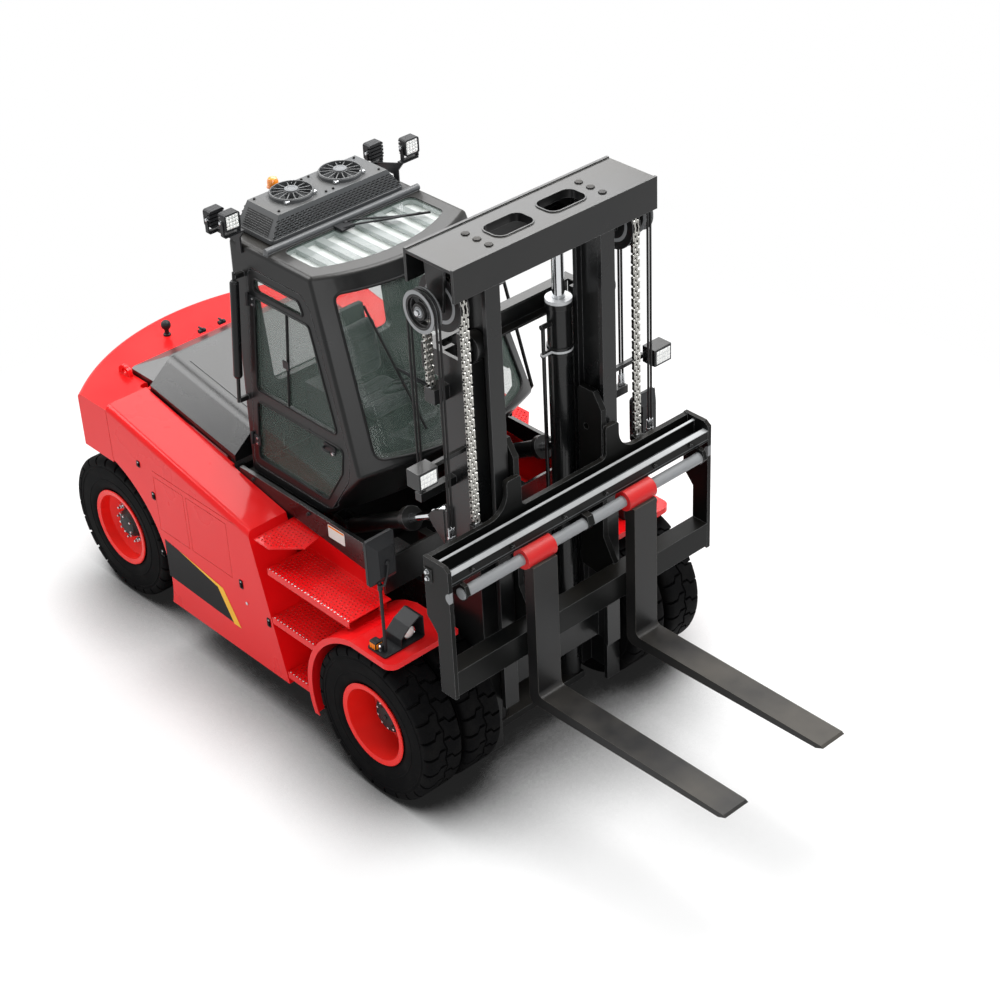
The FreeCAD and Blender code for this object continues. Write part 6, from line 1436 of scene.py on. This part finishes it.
# %% [markdown]
# The truck stands on a pale floor under plain studio light: one wide soft light high over its far side,
# which lays the shadow towards the near side, a weaker one from the front, and two behind. The floor is
# white where the light is free and darkens where the truck closes in over it. That contact
# shadow is deeper than a few lamps alone would give, so the floor's colour follows how much of the
# sky above each point is closed off within 1.2 m.

# %% Floor
def floor_material():
    """A matt white floor that darkens under and beside what stands on it, and is plain white further off."""
    material, tree = start_material("studio_floor")
    closed = add_node(tree, "AmbientOcclusion", {"Distance": 1.2}, "AO", samples=24)
    shade = add_node(tree, "MapRange", {"Value": closed, "From Min": 0.42, "From Max": 0.86, "To Min": 0.02,
                                        "To Max": 1.0}, "Result")
    tint, shown = [add_node(tree, "Mix", {"Factor": shade, "A": colour(dark), "B": colour(pale)}, "Result",
                            data_type="RGBA")
                   for dark, pale in (("#080808", "#F8F8F8"), ("#101010", "#FFFFFF"))]
    lit = add_node(tree, "BsdfDiffuse", {"Color": tint}, "BSDF")
    white = add_node(tree, "Emission", {"Color": shown, "Strength": 1.0}, "Emission")
    place = add_node(tree, "NewGeometry", out="Position")
    reach = add_node(tree, "VectorMath", {0: place}, "Value", operation="LENGTH")
    far = add_node(tree, "MapRange", {"Value": reach, "From Min": 3.2, "From Max": 6.0, "To Min": 0.55,
                                      "To Max": 1.0}, "Result")
    rays = add_node(tree, "LightPath").outputs
    looked_at = add_node(tree, "Math", {0: rays["Is Camera Ray"], 1: rays["Is Glossy Ray"]}, "Value",
                         operation="ADD", use_clamp=True)
    share = add_node(tree, "Math", {0: far, 1: looked_at}, "Value", operation="MULTIPLY")
    surface = add_node(tree, "MixShader", {"Fac": share, 1: lit, 2: white}, "Shader")
    add_node(tree, "OutputMaterial", {"Surface": surface})
    return material


bpy.ops.mesh.primitive_plane_add(size=80, location=(0, 0, 0))
floor = bpy.context.object
floor.name = "studio_floor"
floor.data.materials.append(floor_material())
print("floor laid,", floor.dimensions.x, "m wide")

# %% [markdown]
# The world is white where the camera, a reflection or a pane sees it, and dimmer as a light on the truck, so
# that the lamps still model its shapes.

# %% World
world = bpy.data.worlds.new("studio")
bpy.context.scene.world = world
world.use_nodes = True
tree = world.node_tree
tree.nodes.clear()
rays = add_node(tree, "LightPath").outputs
seen = add_node(tree, "Math", {0: rays["Is Camera Ray"], 1: rays["Is Glossy Ray"]}, "Value", operation="ADD")
seen = add_node(tree, "Math", {0: seen, 1: rays["Is Transmission Ray"]}, "Value", operation="ADD",
                use_clamp=True)
strength = add_node(tree, "MapRange", {"Value": seen, "To Min": 0.38, "To Max": 1.0}, "Result")
sky = add_node(tree, "Background", {"Color": colour("#FFFFFF"), "Strength": strength}, "Background")
add_node(tree, "OutputWorld", {"Surface": sky})
print("world has", len(tree.nodes), "nodes")


# %% Lights
def softbox(name, place, aim_height, watts):
    """A soft light 6 m square at place, turned to face the truck's middle at a height."""
    light = bpy.data.lights.new(name, "AREA")
    light.shape, light.size, light.energy = "SQUARE", 6.0, watts
    lamp = bpy.data.objects.new(name, light)
    lamp.location = place
    lamp.rotation_euler = (Vector((0, 0, aim_height)) - lamp.location).to_track_quat("-Z", "Y").to_euler()
    bpy.context.scene.collection.objects.link(lamp)


softbox("key_light", (1.0, 3.5, 11.0), 1.2, 1250)
softbox("front_light", (8.0, -6.0, 6.0), 1.4, 290)
softbox("back_light_right", (-8.5, -3.0, 9.5), 1.5, 800)
softbox("back_light_left", (-6.5, 5.0, 9.5), 1.5, 500)

# %% [markdown]
# The camera looks down on the right front corner from about 15 m, through a lens a little longer than normal,
# which keeps the upright lines of the mast nearly parallel.

# %% Camera
camera_data = bpy.data.cameras.new("camera")
camera_data.lens = 79.7
camera_data.sensor_width = 36
camera = bpy.data.objects.new("camera", camera_data)
camera.location = (AXLE_X + 8.986, -7.889, 9.745)
camera.rotation_euler = [math.radians(angle) for angle in (56.0935, 2.3957, 47.3099)]
bpy.context.scene.collection.objects.link(camera)
bpy.context.scene.camera = camera
bpy.context.scene.view_settings.view_transform = "Standard"
print("camera", round((camera.location - at(0, 0, 1)).length, 2), "m away")

# %% [markdown]
# The script ends by counting the triangles that the pieces added. The box of the finished truck has to
# stay inside the box of the CAD.

# %% Count the added triangles
print("triangles added:", sum(made_triangles.values()), "most in one piece:", max(made_triangles.values()))
